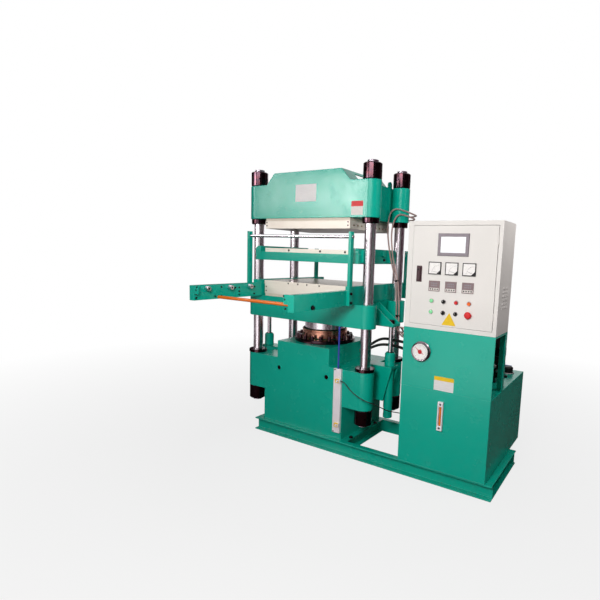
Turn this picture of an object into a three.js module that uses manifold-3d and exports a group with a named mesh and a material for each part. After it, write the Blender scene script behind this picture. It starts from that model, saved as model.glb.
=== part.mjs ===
// A four-column plate vulcanizing press on a channel base, with its oil tank and electric box.
// Millimetres, +Z up. The sizes are set out about the ram's axis: X to the right, Y to the back.
// The last group moves the whole press so that its origin is the middle of its footprint.
import * as THREE from "three";
import { mergeVertices } from "three/addons/utils/BufferGeometryUtils.js";
import Module from "manifold-3d";

const wasm = await Module();
wasm.setup();

// Fits and facets
const clearance = 0.3;
const overrun = 12;
const roundSides = 24;
const smallSides = 12;
const hexSides = 6;
const cordSides = 8;

// Platens and the daylight between them
const platenWidth = 800;
const platenDepth = 594;
const pressInset = 1;
const lowerBlockHeight = 99;
const slideThickness = 27;
const slideOverhang = 5;
const lowerDaylight = 164;
const upperDaylight = 152;
const upperBlockHeight = 78;

// Columns with their nuts and collars
const columnRadius = 40;
const bossRadius = 68;
const columnStub = 20;
const footStub = 15;
const topNutHeight = 114;
const topNutRadius = 67;
const bottomNutHeight = 115;
const bottomNutRadius = 67;
const nutChamfer = 6;
const collarRadius = 74;
const collarHeight = 26;
const ringRadius = 62;
const ringHeight = 40;

// Rails that carry the sliding plate, with their posts
const railGap = 20;
const railThickness = 45;
const railHeight = 105;
const railStepRise = 27;
const railStepFront = 62;
const railReachFront = 683;
const railReachRear = 252;
const postThickness = 22;
const postColumnGap = 3;
const postDepth = 38;
const postSetoff = 75;
const frontPostHeight = 510;
const rearPostHeight = 400;
const rearPostInset = 35;
const stopTabWidth = 35;
const stopTabDepth = 20;
const stopTabHeight = 60;
const guardRadius = 12;
const guardDrop = 35;
const guardEnd = 8;
const tieRadius = 12.5;
const tieSetback = 218;
const tieRise = 14;
const rollerRadius = 18.7;
const rollerLength = 37;
const rollerSetbacks = [105, 319, 520];

// Ram, main cylinder and the press body
const baseHeight = 100;
const bodyWidth = 768;
const bodyHeight = 540;
const bodyBossHeight = 285;
const bodyFloor = 25;
const bodyTopHeight = 138;
const webSetback = 60;
const plateThickness = 40;
const ramRadius = 165;
const barrelWall = 50;
const barrelFloor = 70;
const flangeLip = 35;
const flangeThickness = 30;
const flangeMargin = 3;
const glandWall = 20;
const glandHeight = 72;
const ramShow = 79;
const flangeBolts = 20;
const boltRadius = 15;
const boltHeight = 30;
const plugRadius = 19;
const plugDepth = 6;
const plugSpacing = 468;
const plugDrop = 83;

// Auxiliary cylinders beside the columns, with their brackets
const auxOffset = 85;
const auxTubeRadius = 35;
const auxRodRadius = 17.5;
const auxTubeBottom = 243;
const auxFloor = 30;
const auxGlandRadius = 40;
const auxGlandHeight = 102;
const bracketMargin = 45;
const bracketHalfDepth = 60;
const bracketPlate = 22;
const bracketRise = 15;
const gussetThickness = 12;
const gussetDrop = 250;

// Moving platform
const platformHeight = 171;
const bracketFloor = 20;

// Middle frame and its heating plate
const middleBarThickness = 40;
const middleBarGap = 2;
const middleBarHeight = 65;
const middleSideHeight = 110;
const middleSideThickness = 35;
const guideGap = 20;
const guideReach = 35;
const guideInset = 10;
const middleSlab = 30;
const middleBlockInset = 20;
const headRadius = 27;
const headLength = 17;
const frontHeadShare = 0.93;
const rearHeadShare = 0.25;
const headDrop = 30;

// Upper beam
const beamHeight = 260;
const beamRise = 85;
const crownWidth = 630;
const crownSlope = 77;
const strapThickness = 22;
const windowShare = 0.6;
const windowHeightShare = 0.5;

// Travel sensor on the front of the body
const profileWidth = 64;
const profileDepth = 20;
const profileSide = 4;
const profileBottom = 155;
const profileTopRise = 5;
const slotWidth = 18;
const slotDepth = 9;
const triggerWidth = 12;
const triggerDepth = 5;
const triggerTuck = 330;
const triggerFootLength = 40;
const clampWidth = 34;
const clampHeight = 26;
const clampDepth = 15;
const clampShares = [0.13, 0.82];

// Channel base
const channelFlange = 48;
const channelWeb = 7;
const channelLip = 9;
const baseMarginLeft = 69;
const baseMarginRight = 44;
const baseMarginFront = 41;
const baseMarginRear = 20;
const crossMargin = 6;

// Oil tank, stand and electric box
const cabinetGap = 219;
const cabinetWidth = 600;
const tankDepth = 923;
const tankHeight = 535;
const tankWall = 6;
const standHeight = 392;
const standSheet = 10;
const standPostWidth = 18;
const standPostDepth = 120;
const boxDepth = 292;
const boxHeight = 685;
const boxWall = 8;
const standFloor = 12;

// Door of the electric box and what is set in it
const doorMargin = 30;
const doorMarginLeft = 38;
const doorMarginRight = 26;
const doorThickness = 16;
const doorProud = 2;
const doorGap = 2;
const hingeHeight = 46;
const hingeShares = [0.14, 0.86];
const screenWidth = 200;
const screenHeight = 140;
const screenDepth = 10;
const screenRiseShare = 0.813;
const instrumentMiddleShare = 0.498;
const meterWidth = 82;
const meterHeight = 78;
const meterDepth = 9;
const meterPitch = 110;
const meterRiseShare = 0.579;
const controllerWidth = 72;
const controllerHeight = 65;
const controllerDepth = 7;
const controllerPitch = 108;
const controllerRiseShare = 0.4;
const controlPitch = 81;
const upperRowShare = 0.248;
const lowerRowShare = 0.136;
const bezelRadius = 17;
const bezelDepth = 3;
const lampRadius = 12;
const lampDepth = 9;
const knobRadius = 12;
const knobDepth = 10;
const pointerLength = 22;
const pointerWidth = 8;
const pointerDepth = 10;
const buttonRadius = 10.5;
const buttonProud = 9;
const stemRadius = 8;
const stopHeadRadius = 22;
const stopHeadDepth = 12;
const stopStemShow = 8;
const handleWidth = 25;
const handleHeight = 90;
const handleDepth = 14;
const handlePlateMargin = 6;
const handlePlateDepth = 4;
const handleAcrossShare = 0.097;
const handleRiseShare = 0.515;

// Electrical parts on the mounting plate
const mountingSheet = 6;
const mountingMargin = 30;
const deviceWidth = 60;
const deviceHeight = 90;
const deviceDepth = 80;
const deviceRows = 3;
const deviceColumns = 5;
const deviceRail = 12;

// Gauges on the front
const gaugeRadius = 65;
const gaugeDepth = 30;
const gaugeRim = 6;
const gaugeAcrossShare = 0.223;
const gaugeRiseShare = 0.62;
const levelWidth = 36;
const levelHeight = 191;
const levelDepth = 22;
const levelRecess = 8;
const levelEnd = 34;
const levelAcrossShare = 0.485;
const levelRiseShare = 0.705;

// Pump unit, valves and breather on the tank
const hatchWidth = 240;
const hatchDepth = 180;
const hatchRim = 30;
const hatchPlate = 12;
const motorRadius = 85;
const motorLength = 250;
const motorFootHeight = 25;
const pumpRadius = 50;
const pumpLength = 110;
const terminalWidth = 100;
const terminalHeight = 45;
const fanCoverRadius = 77;
const fanCoverLength = 45;
const motorAcrossShare = 0.36;
const motorBackShare = 0.72;
const valveWidth = 150;
const valveDepth = 90;
const valveHeight = 95;
const solenoidRadius = 20;
const solenoidLength = 70;
const valveAcrossShare = 0.72;
const valveBackShare = 0.52;
const breatherRadius = 38;
const breatherHeight = 52;
const breatherFlange = 46;
const breatherFlangeHeight = 7;
const breatherAcrossShare = 0.85;
const breatherBackShare = 0.86;

// Hoses and cables: routes about the ram's axis, chosen by hand
const conduitRadius = 6;
const conduitSteps = 60;
const wrapMargin = 3;
const wrapHeight = 12;
const upperConduitRoute = [
  [470, 298.3, 1800], [470, 322, 1800], [483, 346, 1800], [508, 362, 1801], [542, 366, 1802],
  [578, 357, 1803], [610, 334, 1804], [634, 300, 1805], [646, 258, 1806], [644, 216, 1810],
  [626, 180, 1820], [594, 156, 1832], [556, 143, 1842], [524, 136, 1840], [500, 130, 1820],
  [489, 124, 1785], [485, 119, 1740], [484, 117, 1690], [489, 121, 1620], [498, 130, 1540],
  [514, 138, 1450], [538, 140, 1370], [560, 140, 1293], [572, 140, 1200], [579, 140, 1100],
  [582, 138, 1020], [590, 124, 962], [612, 94, 930], [648, 52, 918], [696, 2, 922],
  [744, -68, 938], [782, -150, 964], [808, -228, 992], [830, -286, 1008], [854, -306, 1010],
  [866, -306, 1010], [878.7, -306, 1010],
];
const lowerConduitRoute = [
  [492, 298.3, 1768], [492, 318, 1768], [504, 340, 1769], [528, 352, 1770], [556, 350, 1772],
  [586, 338, 1774], [612, 314, 1776], [630, 282, 1778], [638, 246, 1780], [635, 210, 1784],
  [618, 176, 1792], [592, 156, 1800], [564, 142, 1800], [542, 134, 1780], [528, 128, 1745],
  [520, 124, 1700], [516, 124, 1640], [520, 130, 1560], [532, 138, 1460], [556, 140, 1370],
  [580, 140, 1293], [592, 140, 1200], [600, 140, 1100], [604, 138, 1020], [612, 122, 954],
  [634, 90, 914], [670, 46, 894], [716, -6, 892], [760, -74, 904], [794, -154, 928],
  [818, -228, 952], [838, -282, 966], [856, -300, 968], [866, -300, 968], [878.7, -300, 968],
];
const wrapLevels = [1293, 1020];
const hoseRadius = 11;
const hoseSteps = 18;
const upperHoseRoute = [
  [259.3, 200, 731], [290, 200, 731], [330, 203, 750], [380, 200, 784], [430, 186, 808],
  [480, 162, 822], [540, 130, 830], [600, 101, 834], [660, 65, 838], [720, 18, 846],
  [770, -42, 862], [804, -104, 882], [830, -150, 896], [856, -166, 898], [878.7, -166, 898],
];
const lowerHoseRoute = [
  [259.3, 150, 700], [290, 150, 700], [335, 150, 720], [390, 146, 748], [450, 132, 772],
  [520, 114, 786], [590, 92, 792], [655, 62, 794], [715, 20, 796], [768, -36, 804],
  [804, -96, 818], [830, -140, 828], [856, -156, 830], [878.7, -156, 830],
];
const fittingWidth = 26;
const fittingMargin = 14;
const cableRadius = 3.5;
const cableSteps = 40;
const cableRoute = [
  [384.3, -326, 558], [404, -326, 558], [436, -331, 542], [474, -337, 514], [516, -339, 490],
  [562, -337, 468], [608, -328, 452], [644, -304, 436], [664, -260, 412], [672, -200, 380],
  [674, -140, 350], [684, -80, 325], [708, -30, 308], [748, 2, 300], [794, 26, 302],
  [832, 56, 322], [852, 84, 366], [858, 94, 430], [858, 90, 510], [856, 66, 590],
  [853, 18, 656], [852, -40, 704], [854, -90, 732], [864, -106, 738], [878.7, -106, 738],
];

// Places that follow from the sizes above
const platenHalf = platenWidth / 2;
const platenHalfDepth = platenDepth / 2;
const pressFront = platenHalfDepth + pressInset;
const railInner = platenHalf + railGap;
const railOuter = railInner + railThickness;
const postOuter = railOuter + postThickness;
const columnX = postOuter + postColumnGap + columnRadius;
const columnY = pressFront - bossRadius;
const webX = columnX - webSetback;
const auxX = columnX + auxOffset;
const bracketX = auxX + bracketMargin;
const bodyHalf = bodyWidth / 2;
const shoulderTop = baseHeight + bodyHeight;
const bodyTop = shoulderTop + bodyTopHeight;
const flangeTop = bodyTop + flangeThickness;
const glandTop = flangeTop + glandHeight;
const platformBottom = glandTop + ramShow;
const platformTop = platformBottom + platformHeight;
const lowerBlockTop = platformTop + lowerBlockHeight;
const slideTop = lowerBlockTop + slideThickness;
const middleBottom = slideTop + lowerDaylight;
const middleBarTop = middleBottom + middleBarHeight;
const middleTop = middleBarTop + middleSlab;
const upperBlockBottom = middleTop + upperDaylight;
const beamBottom = upperBlockBottom + upperBlockHeight;
const beamShoulder = beamBottom + beamHeight;
const beamTop = beamShoulder + beamRise;
const columnTop = beamShoulder + topNutHeight + columnStub;
const bodyBossBottom = shoulderTop - bodyBossHeight;
const bottomNutFoot = bodyBossBottom - bottomNutHeight;
const boreRadius = ramRadius + clearance;
const barrelRadius = boreRadius + barrelWall;
const flangeRadius = barrelRadius + flangeLip;
const glandRadius = boreRadius + glandWall;
const bodyTopHalf = flangeRadius + flangeMargin;
const railFront = -(pressFront + railReachFront);
const railRear = pressFront + railReachRear;
const postRear = -(pressFront + postSetoff);
const tankLeft = bracketX + cabinetGap;
const tankRight = tankLeft + cabinetWidth;
const baseLeft = -(bodyHalf + baseMarginLeft);
const baseRight = tankRight + baseMarginRight;
const baseFront = -(pressFront + baseMarginFront);
const baseRear = pressFront + baseMarginRear;
const tankRear = baseFront + tankDepth;
const tankTop = baseHeight + tankHeight;
const standTop = tankTop + standHeight;
const boxRear = baseFront + boxDepth;
const boxTop = standTop + boxHeight;
const doorWidth = cabinetWidth - doorMarginLeft - doorMarginRight;
const doorHeight = boxHeight - 2 * doorMargin;
const doorLeft = tankLeft + doorMarginLeft;
const doorBottom = standTop + doorMargin;
const doorFace = baseFront - doorProud;

// Finishes
const finishes = {
  green: new THREE.MeshStandardMaterial({ color: 0x1fa584, roughness: 0.38, metalness: 0.1 }),
  cream: new THREE.MeshStandardMaterial({ color: 0xf1e4dc, roughness: 0.5, metalness: 0.05 }),
  chrome: new THREE.MeshStandardMaterial({ color: 0xd9d4da, roughness: 0.12, metalness: 1 }),
  blackened: new THREE.MeshStandardMaterial({ color: 0x2a171c, roughness: 0.35, metalness: 0.8 }),
  plate: new THREE.MeshStandardMaterial({ color: 0xe9d8cc, roughness: 0.4, metalness: 0.6 }),
  orange: new THREE.MeshStandardMaterial({ color: 0xf07818, roughness: 0.4, metalness: 0.1 }),
  blue: new THREE.MeshStandardMaterial({ color: 0x2b3fb0, roughness: 0.4, metalness: 0.2 }),
  aluminium: new THREE.MeshStandardMaterial({ color: 0xe3d3dd, roughness: 0.35, metalness: 0.8 }),
  black: new THREE.MeshStandardMaterial({ color: 0x1c1a1c, roughness: 0.5, metalness: 0 }),
  red: new THREE.MeshStandardMaterial({ color: 0xd83028, roughness: 0.35, metalness: 0 }),
  grey: new THREE.MeshStandardMaterial({ color: 0x8f8488, roughness: 0.5, metalness: 0.1 }),
  conduit: new THREE.MeshStandardMaterial({ color: 0xd3aeb0, roughness: 0.55, metalness: 0.1 }),
  rubber: new THREE.MeshStandardMaterial({ color: 0x171315, roughness: 0.6, metalness: 0 }),
};

// A geometry as a solid that can be cut and joined
function solid(geometry) {
  const bare = geometry.index ? geometry.toNonIndexed() : geometry.clone();
  bare.deleteAttribute("normal");
  bare.deleteAttribute("uv");
  const merged = mergeVertices(bare);
  const mesh = new wasm.Mesh({
    numProp: 3,
    vertProperties: merged.attributes.position.array,
    triVerts: new Uint32Array(merged.index.array),
  });
  return new wasm.Manifold(mesh);
}

// A solid as a named mesh in the group
function piece(group, name, shape, finish) {
  const mesh = shape.getMesh();
  const geometry = new THREE.BufferGeometry();
  geometry.setAttribute("position", new THREE.BufferAttribute(mesh.vertProperties, 3));
  geometry.setIndex(new THREE.BufferAttribute(mesh.triVerts, 1));
  geometry.computeVertexNormals();
  const made = new THREE.Mesh(geometry, finishes[finish]);
  made.name = name;
  group.add(made);
}

function join(...shapes) {
  return shapes.reduce((whole, shape) => whole.add(shape));
}

function cut(whole, ...tools) {
  return tools.reduce((left, tool) => left.subtract(tool), whole);
}

// A block between two limits on each axis
function block([x0, x1], [y0, y1], [z0, z1]) {
  const geometry = new THREE.BoxGeometry(x1 - x0, y1 - y0, z1 - z0);
  geometry.translate((x0 + x1) / 2, (y0 + y1) / 2, (z0 + z1) / 2);
  return solid(geometry);
}

// Two limits with the lower one first
function between(a, b) {
  return [Math.min(a, b), Math.max(a, b)];
}

// The same two limits on the side that sign gives
function onSide(sign, inner, outer) {
  return sign > 0 ? [inner, outer] : [-outer, -inner];
}

// A round bar along Z, from one level to another
function upright(radius, [x, y], [z0, z1], sides = roundSides) {
  const geometry = new THREE.CylinderGeometry(radius, radius, z1 - z0, sides);
  geometry.rotateX(Math.PI / 2);
  geometry.translate(x, y, (z0 + z1) / 2);
  return solid(geometry);
}

// A round bar along X
function crossBar(radius, [x0, x1], [y, z], sides = roundSides) {
  const geometry = new THREE.CylinderGeometry(radius, radius, x1 - x0, sides);
  geometry.rotateZ(Math.PI / 2);
  geometry.translate((x0 + x1) / 2, y, z);
  return solid(geometry);
}

// A round bar along Y
function depthBar(radius, [y0, y1], [x, z], sides = roundSides) {
  const geometry = new THREE.CylinderGeometry(radius, radius, y1 - y0, sides);
  geometry.translate(x, (y0 + y1) / 2, z);
  return solid(geometry);
}

// A turned shape about Z from its radius and level pairs, which start and end on the axis
function turned(profile, [x, y], sides = roundSides) {
  const points = profile.map(([radius, level]) => new THREE.Vector2(radius, level));
  const geometry = new THREE.LatheGeometry(points, sides);
  geometry.rotateX(Math.PI / 2);
  geometry.translate(x, y, 0);
  return solid(geometry);
}

// An outline in X and Z, given its thickness along Y
function plateAcross(outline, [y0, y1]) {
  const shape = new THREE.Shape(outline.map(([x, z]) => new THREE.Vector2(x, z)));
  const geometry = new THREE.ExtrudeGeometry(shape, { depth: y1 - y0, bevelEnabled: false });
  geometry.rotateX(Math.PI / 2);
  geometry.translate(0, y1, 0);
  return solid(geometry);
}

// An outline in Y and Z, given its thickness along X
function plateAlong(outline, [x0, x1]) {
  const shape = new THREE.Shape(outline.map(([y, z]) => new THREE.Vector2(y, z)));
  const geometry = new THREE.ExtrudeGeometry(shape, { depth: x1 - x0, bevelEnabled: false });
  geometry.rotateY(Math.PI / 2);
  geometry.rotateX(Math.PI / 2);
  geometry.translate(x0, 0, 0);
  return solid(geometry);
}

// A tube along a smooth curve through a route
function cord(route, radius, steps) {
  const curve = new THREE.CatmullRomCurve3(route.map((point) => new THREE.Vector3(...point)));
  const section = new THREE.Shape(Array.from({ length: cordSides }, (_, side) => {
    const turn = (2 * Math.PI * side) / cordSides;
    return new THREE.Vector2(radius * Math.cos(turn), radius * Math.sin(turn));
  }));
  const geometry = new THREE.ExtrudeGeometry(section, { steps, bevelEnabled: false, extrudePath: curve });
  return solid(geometry);
}

const cornerSigns = [
  ["front_left", -1, -1],
  ["front_right", 1, -1],
  ["rear_left", -1, 1],
  ["rear_right", 1, 1],
];
const sideSigns = [["left", -1], ["right", 1]];
const lengthwise = [-1, 1];

// The same tool at each of the four columns
function atColumns(make) {
  return cornerSigns.map(([, sx, sy]) => make([sx * columnX, sy * columnY]));
}

// A round hole for each column through one piece, from one level to another
function columnHoles([z0, z1]) {
  const radius = columnRadius + clearance;
  return atColumns((place) => upright(radius, place, [z0 - overrun, z1 + overrun]));
}

// The front and rear plates that run from column to column, between two levels
function facePlates(levels) {
  return lengthwise.map((side) =>
    block([-columnX, columnX], onSide(side, pressFront - plateThickness, pressFront), levels),
  );
}

// A solid the size of the platens, between two levels
function platenBlock(levels) {
  return block([-platenHalf, platenHalf], [-platenHalfDepth, platenHalfDepth], levels);
}

// A channel with its back toward one side and its flanges toward the other, along X
function channelAcross([x0, x1], outer, inward) {
  const inner = outer + inward * channelFlange;
  const back = between(inner, inner - inward * channelWeb);
  const flange = between(outer, inner);
  return join(
    block([x0, x1], back, [0, baseHeight]),
    block([x0, x1], flange, [0, channelLip]),
    block([x0, x1], flange, [baseHeight - channelLip, baseHeight]),
  );
}

// A channel between the two long rails, with its back at one place and flanges outward
function channelBetween(outer, inward) {
  const inner = outer + inward * channelFlange;
  const span = [baseFront + channelFlange - channelWeb, baseRear - channelFlange + channelWeb];
  const back = between(inner, inner - inward * channelWeb);
  const flange = between(outer, inner);
  return join(
    block(back, span, [0, baseHeight]),
    block(flange, span, [0, channelLip]),
    block(flange, span, [baseHeight - channelLip, baseHeight]),
  );
}

function baseFrame(group) {
  const beside = bodyHalf + crossMargin + channelFlange;
  const frame = join(
    channelAcross([baseLeft, baseRight], baseFront, 1),
    channelAcross([baseLeft, baseRight], baseRear, -1),
    channelBetween(baseLeft, 1),
    channelBetween(beside, -1),
    channelBetween(tankLeft, 1),
    channelBetween(baseRight, -1),
  );
  piece(group, "base_frame", frame, "green");
}

// Bracket for an auxiliary cylinder: a flat plate with two gussets back to the side web
function sideBracket(sign, [z0, z1], gusset) {
  const reach = onSide(sign, webX - clearance, bracketX);
  const floor = block(reach, [-bracketHalfDepth, bracketHalfDepth], [z0, z1]);
  const outline = gusset.map(([x, z]) => [sign * x, z]);
  const sides = lengthwise.map((side) =>
    plateAcross(outline, onSide(side, bracketHalfDepth - gussetThickness, bracketHalfDepth)),
  );
  return join(floor, ...sides);
}

function pressBody(group) {
  const bracketTop = shoulderTop + bracketRise;
  const bracketBottom = bracketTop - bracketPlate;
  const hangs = [
    [webX - clearance, bracketTop - clearance],
    [bracketX, bracketTop - clearance],
    [bracketX, bracketBottom],
    [columnX + bossRadius, bracketBottom - gussetDrop],
    [webX - clearance, bracketBottom - gussetDrop],
  ];
  const shoulder = [bodyBossBottom, shoulderTop];
  const bosses = atColumns((place) => upright(bossRadius, place, shoulder));
  const brackets = sideSigns.map(([, sign]) => sideBracket(sign, [bracketBottom, bracketTop], hangs));
  const barrelLevels = [baseHeight + bodyFloor, bodyTop + overrun];
  const barrelHole = upright(barrelRadius + clearance, [0, 0], barrelLevels);
  const tubeHoles = sideSigns.map(([, sign]) =>
    upright(auxTubeRadius + clearance, [sign * auxX, 0], [bracketBottom - overrun, bracketTop + overrun]),
  );
  const plugHoles = lengthwise.map((side) =>
    depthBar(plugRadius, [-pressFront - overrun, -pressFront + plugDepth], [
      (side * plugSpacing) / 2, shoulderTop - plugDrop,
    ], smallSides),
  );
  const body = join(
    block([-bodyHalf, bodyHalf], [-pressFront, pressFront], [baseHeight, shoulderTop]),
    block([-webX, webX], [clearance - pressFront, pressFront - clearance], shoulder),
    block([-bodyTopHalf, bodyTopHalf], [-pressFront, pressFront], [shoulderTop - clearance, bodyTop]),
    ...facePlates(shoulder),
    ...bosses,
    ...brackets,
  );
  const holes = columnHoles(shoulder);
  piece(group, "press_body", cut(body, barrelHole, ...tubeHoles, ...plugHoles, ...holes), "green");
}

function mainCylinder(group) {
  const foot = baseHeight + bodyFloor;
  const outside = turned([
    [0, foot],
    [barrelRadius, foot],
    [barrelRadius, bodyTop],
    [flangeRadius, bodyTop],
    [flangeRadius, flangeTop],
    [glandRadius, flangeTop],
    [glandRadius, glandTop],
    [0, glandTop],
  ], [0, 0]);
  const bore = upright(boreRadius, [0, 0], [foot + barrelFloor, glandTop + overrun]);
  const boltCircle = (glandRadius + flangeRadius) / 2;
  const bolts = Array.from({ length: flangeBolts }, (_, index) => {
    const turn = (2 * Math.PI * (index + 1 / 2)) / flangeBolts;
    const place = [boltCircle * Math.cos(turn), boltCircle * Math.sin(turn)];
    return upright(boltRadius, place, [flangeTop - clearance, flangeTop + boltHeight], hexSides);
  });
  piece(group, "main_cylinder", cut(join(outside, ...bolts), bore), "blackened");
}

function ram(group) {
  const foot = baseHeight + bodyFloor + barrelFloor + clearance;
  piece(group, "ram", upright(ramRadius, [0, 0], [foot, platformBottom]), "chrome");
}

// A column with the collar that stands on the body and the ring that is clamped under the beam
function columns(group) {
  const foot = bottomNutFoot - footStub;
  for (const [corner, sx, sy] of cornerSigns) {
    const profile = [
      [0, foot],
      [columnRadius, foot],
      [columnRadius, shoulderTop],
      [collarRadius, shoulderTop],
      [collarRadius, shoulderTop + collarHeight],
      [columnRadius, shoulderTop + collarHeight],
      [columnRadius, beamBottom - ringHeight],
      [ringRadius, beamBottom - ringHeight],
      [ringRadius, beamBottom],
      [columnRadius, beamBottom],
      [columnRadius, columnTop],
      [0, columnTop],
    ];
    piece(group, `column_${corner}`, turned(profile, [sx * columnX, sy * columnY]), "chrome");
  }
}

// A round nut with its edges turned off, on one column
function columnNut(radius, [z0, z1], place) {
  const shape = turned([
    [0, z0],
    [radius - nutChamfer, z0],
    [radius, z0 + nutChamfer],
    [radius, z1 - nutChamfer],
    [radius - nutChamfer, z1],
    [0, z1],
  ], place);
  return cut(shape, upright(columnRadius + clearance, place, [z0 - overrun, z1 + overrun]));
}

function columnNuts(group) {
  for (const [corner, sx, sy] of cornerSigns) {
    const place = [sx * columnX, sy * columnY];
    const top = columnNut(topNutRadius, [beamShoulder, beamShoulder + topNutHeight], place);
    piece(group, `top_nut_${corner}`, top, "blackened");
    const bottom = columnNut(bottomNutRadius, [bottomNutFoot, bodyBossBottom], place);
    piece(group, `bottom_nut_${corner}`, bottom, "blackened");
  }
}

function upperBeam(group) {
  const crown = crownWidth / 2;
  const slopeFoot = crown + crownSlope;
  const outline = [
    [-columnX, beamBottom],
    [columnX, beamBottom],
    [columnX, beamShoulder],
    [slopeFoot, beamShoulder],
    [crown, beamTop],
    [-crown, beamTop],
    [-slopeFoot, beamShoulder],
    [-columnX, beamShoulder],
  ];
  const faces = lengthwise.map((side) =>
    plateAcross(outline, onSide(side, pressFront - plateThickness, pressFront)),
  );
  const inside = pressFront - plateThickness + clearance;
  const straps = sideSigns.map(([, sign]) => plateAcross([
    [sign * slopeFoot, beamShoulder],
    [sign * crown, beamTop],
    [sign * (crown - strapThickness), beamTop],
    [sign * (slopeFoot - strapThickness), beamShoulder - clearance],
  ], [-inside, inside]));
  const windowHalf = inside * windowShare;
  const windowRise = (beamRise * (1 - windowHeightShare)) / 2;
  const windows = sideSigns.map(([, sign]) => block(
    onSide(sign, crown - strapThickness - overrun, slopeFoot + overrun),
    [-windowHalf, windowHalf],
    [beamShoulder + windowRise, beamTop - windowRise],
  ));
  const core = block([-webX, webX], [-inside, inside], [beamBottom, beamShoulder]);
  const bosses = atColumns((place) => upright(bossRadius, place, [beamBottom, beamShoulder]));
  const holes = columnHoles([beamBottom, beamShoulder]);
  const crownPart = cut(join(...faces, ...straps), ...windows);
  piece(group, "upper_beam", cut(join(crownPart, core, ...bosses), ...holes), "green");
}

function upperHotPlate(group) {
  piece(group, "upper_hot_plate", platenBlock([upperBlockBottom, beamBottom]), "plate");
}

// Auxiliary cylinders hang in the body's brackets and their rods reach the platform's
function auxiliaryCylinders(group) {
  const seat = shoulderTop + bracketRise;
  const mouth = seat + auxGlandHeight;
  for (const [side, sign] of sideSigns) {
    const place = [sign * auxX, 0];
    const outside = turned([
      [0, auxTubeBottom],
      [auxTubeRadius, auxTubeBottom],
      [auxTubeRadius, seat],
      [auxGlandRadius, seat],
      [auxGlandRadius, mouth],
      [0, mouth],
    ], place);
    const bore = upright(auxRodRadius + clearance, place, [auxTubeBottom + auxFloor, mouth + overrun]);
    piece(group, `aux_cylinder_${side}`, cut(outside, bore), "green");
    const foot = auxTubeBottom + auxFloor + clearance;
    piece(group, `aux_rod_${side}`, upright(auxRodRadius, place, [foot, platformBottom]), "chrome");
  }
}

function movingPlatform(group) {
  const slopes = [
    [webX - clearance, platformTop - clearance],
    [bracketX, platformBottom + bracketFloor],
    [bracketX, platformBottom + clearance],
    [webX - clearance, platformBottom + clearance],
  ];
  const levels = [platformBottom, platformTop];
  const core = block([-webX, webX], [clearance - pressFront, pressFront - clearance], levels);
  const bosses = atColumns((place) => upright(bossRadius, place, levels));
  const brackets = sideSigns.map(([, sign]) =>
    sideBracket(sign, [platformBottom, platformBottom + bracketFloor], slopes),
  );
  const body = join(core, ...facePlates(levels), ...bosses, ...brackets);
  piece(group, "moving_platform", cut(body, ...columnHoles(levels)), "green");
}

// One rail with its front post, rear post and stop tab
function sideRails(group) {
  const stepFront = -(pressFront + railStepFront);
  const railTop = platformTop + railHeight;
  const outline = [
    [railFront, platformTop],
    [railRear, platformTop],
    [railRear, railTop + railStepRise],
    [stepFront, railTop + railStepRise],
    [stepFront, railTop],
    [railFront, railTop],
  ];
  const guardLevel = platformTop + frontPostHeight - guardDrop;
  const guardY = postRear - postDepth / 2;
  const rearPostEnd = railRear - rearPostInset;
  for (const [side, sign] of sideSigns) {
    const across = onSide(sign, railInner, railOuter);
    const outside = onSide(sign, railOuter - clearance, postOuter);
    const post = (rear, height) =>
      block(outside, [rear - postDepth, rear], [platformTop, platformTop + height]);
    const posts = [post(postRear, frontPostHeight), post(rearPostEnd, rearPostHeight)];
    const tab = block(
      onSide(sign, railInner - stopTabWidth, railInner + clearance),
      [railFront, railFront + stopTabDepth],
      [railTop - stopTabHeight, railTop],
    );
    const shape = join(plateAlong(outline, across), ...posts, tab);
    const through = [outside[0] - overrun, outside[1] + overrun];
    const hole = crossBar(guardRadius + clearance, through, [guardY, guardLevel]);
    piece(group, `side_rail_${side}`, cut(shape, hole), "green");
  }
  const guardHalf = postOuter + guardEnd;
  const guard = crossBar(guardRadius, [-guardHalf, guardHalf], [guardY, guardLevel]);
  piece(group, "front_guard_bar", guard, "chrome");
  const tieHalf = railInner - clearance;
  const tie = crossBar(tieRadius, [-tieHalf, tieHalf], [railFront + tieSetback, platformTop + tieRise]);
  piece(group, "tie_bar", tie, "orange");
}

// Rollers on the rails' inner faces, level with the underside of the sliding plate
function railRollers(group) {
  const level = lowerBlockTop - clearance - rollerRadius;
  for (const [side, sign] of sideSigns) {
    rollerSetbacks.forEach((setback, index) => {
      const across = onSide(sign, railInner - clearance - rollerLength, railInner - clearance);
      const roller = crossBar(rollerRadius, across, [railFront + setback, level], smallSides);
      piece(group, `roller_${side}_${index + 1}`, roller, "chrome");
    });
  }
}

function lowerHotPlate(group) {
  piece(group, "lower_hot_plate", platenBlock([platformTop, lowerBlockTop]), "plate");
}

function slidePlate(group) {
  const half = platenHalf + slideOverhang;
  const shape = block([-half, half], [-platenHalfDepth, platenHalfDepth], [lowerBlockTop, slideTop]);
  piece(group, "slide_plate", shape, "plate");
}

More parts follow.
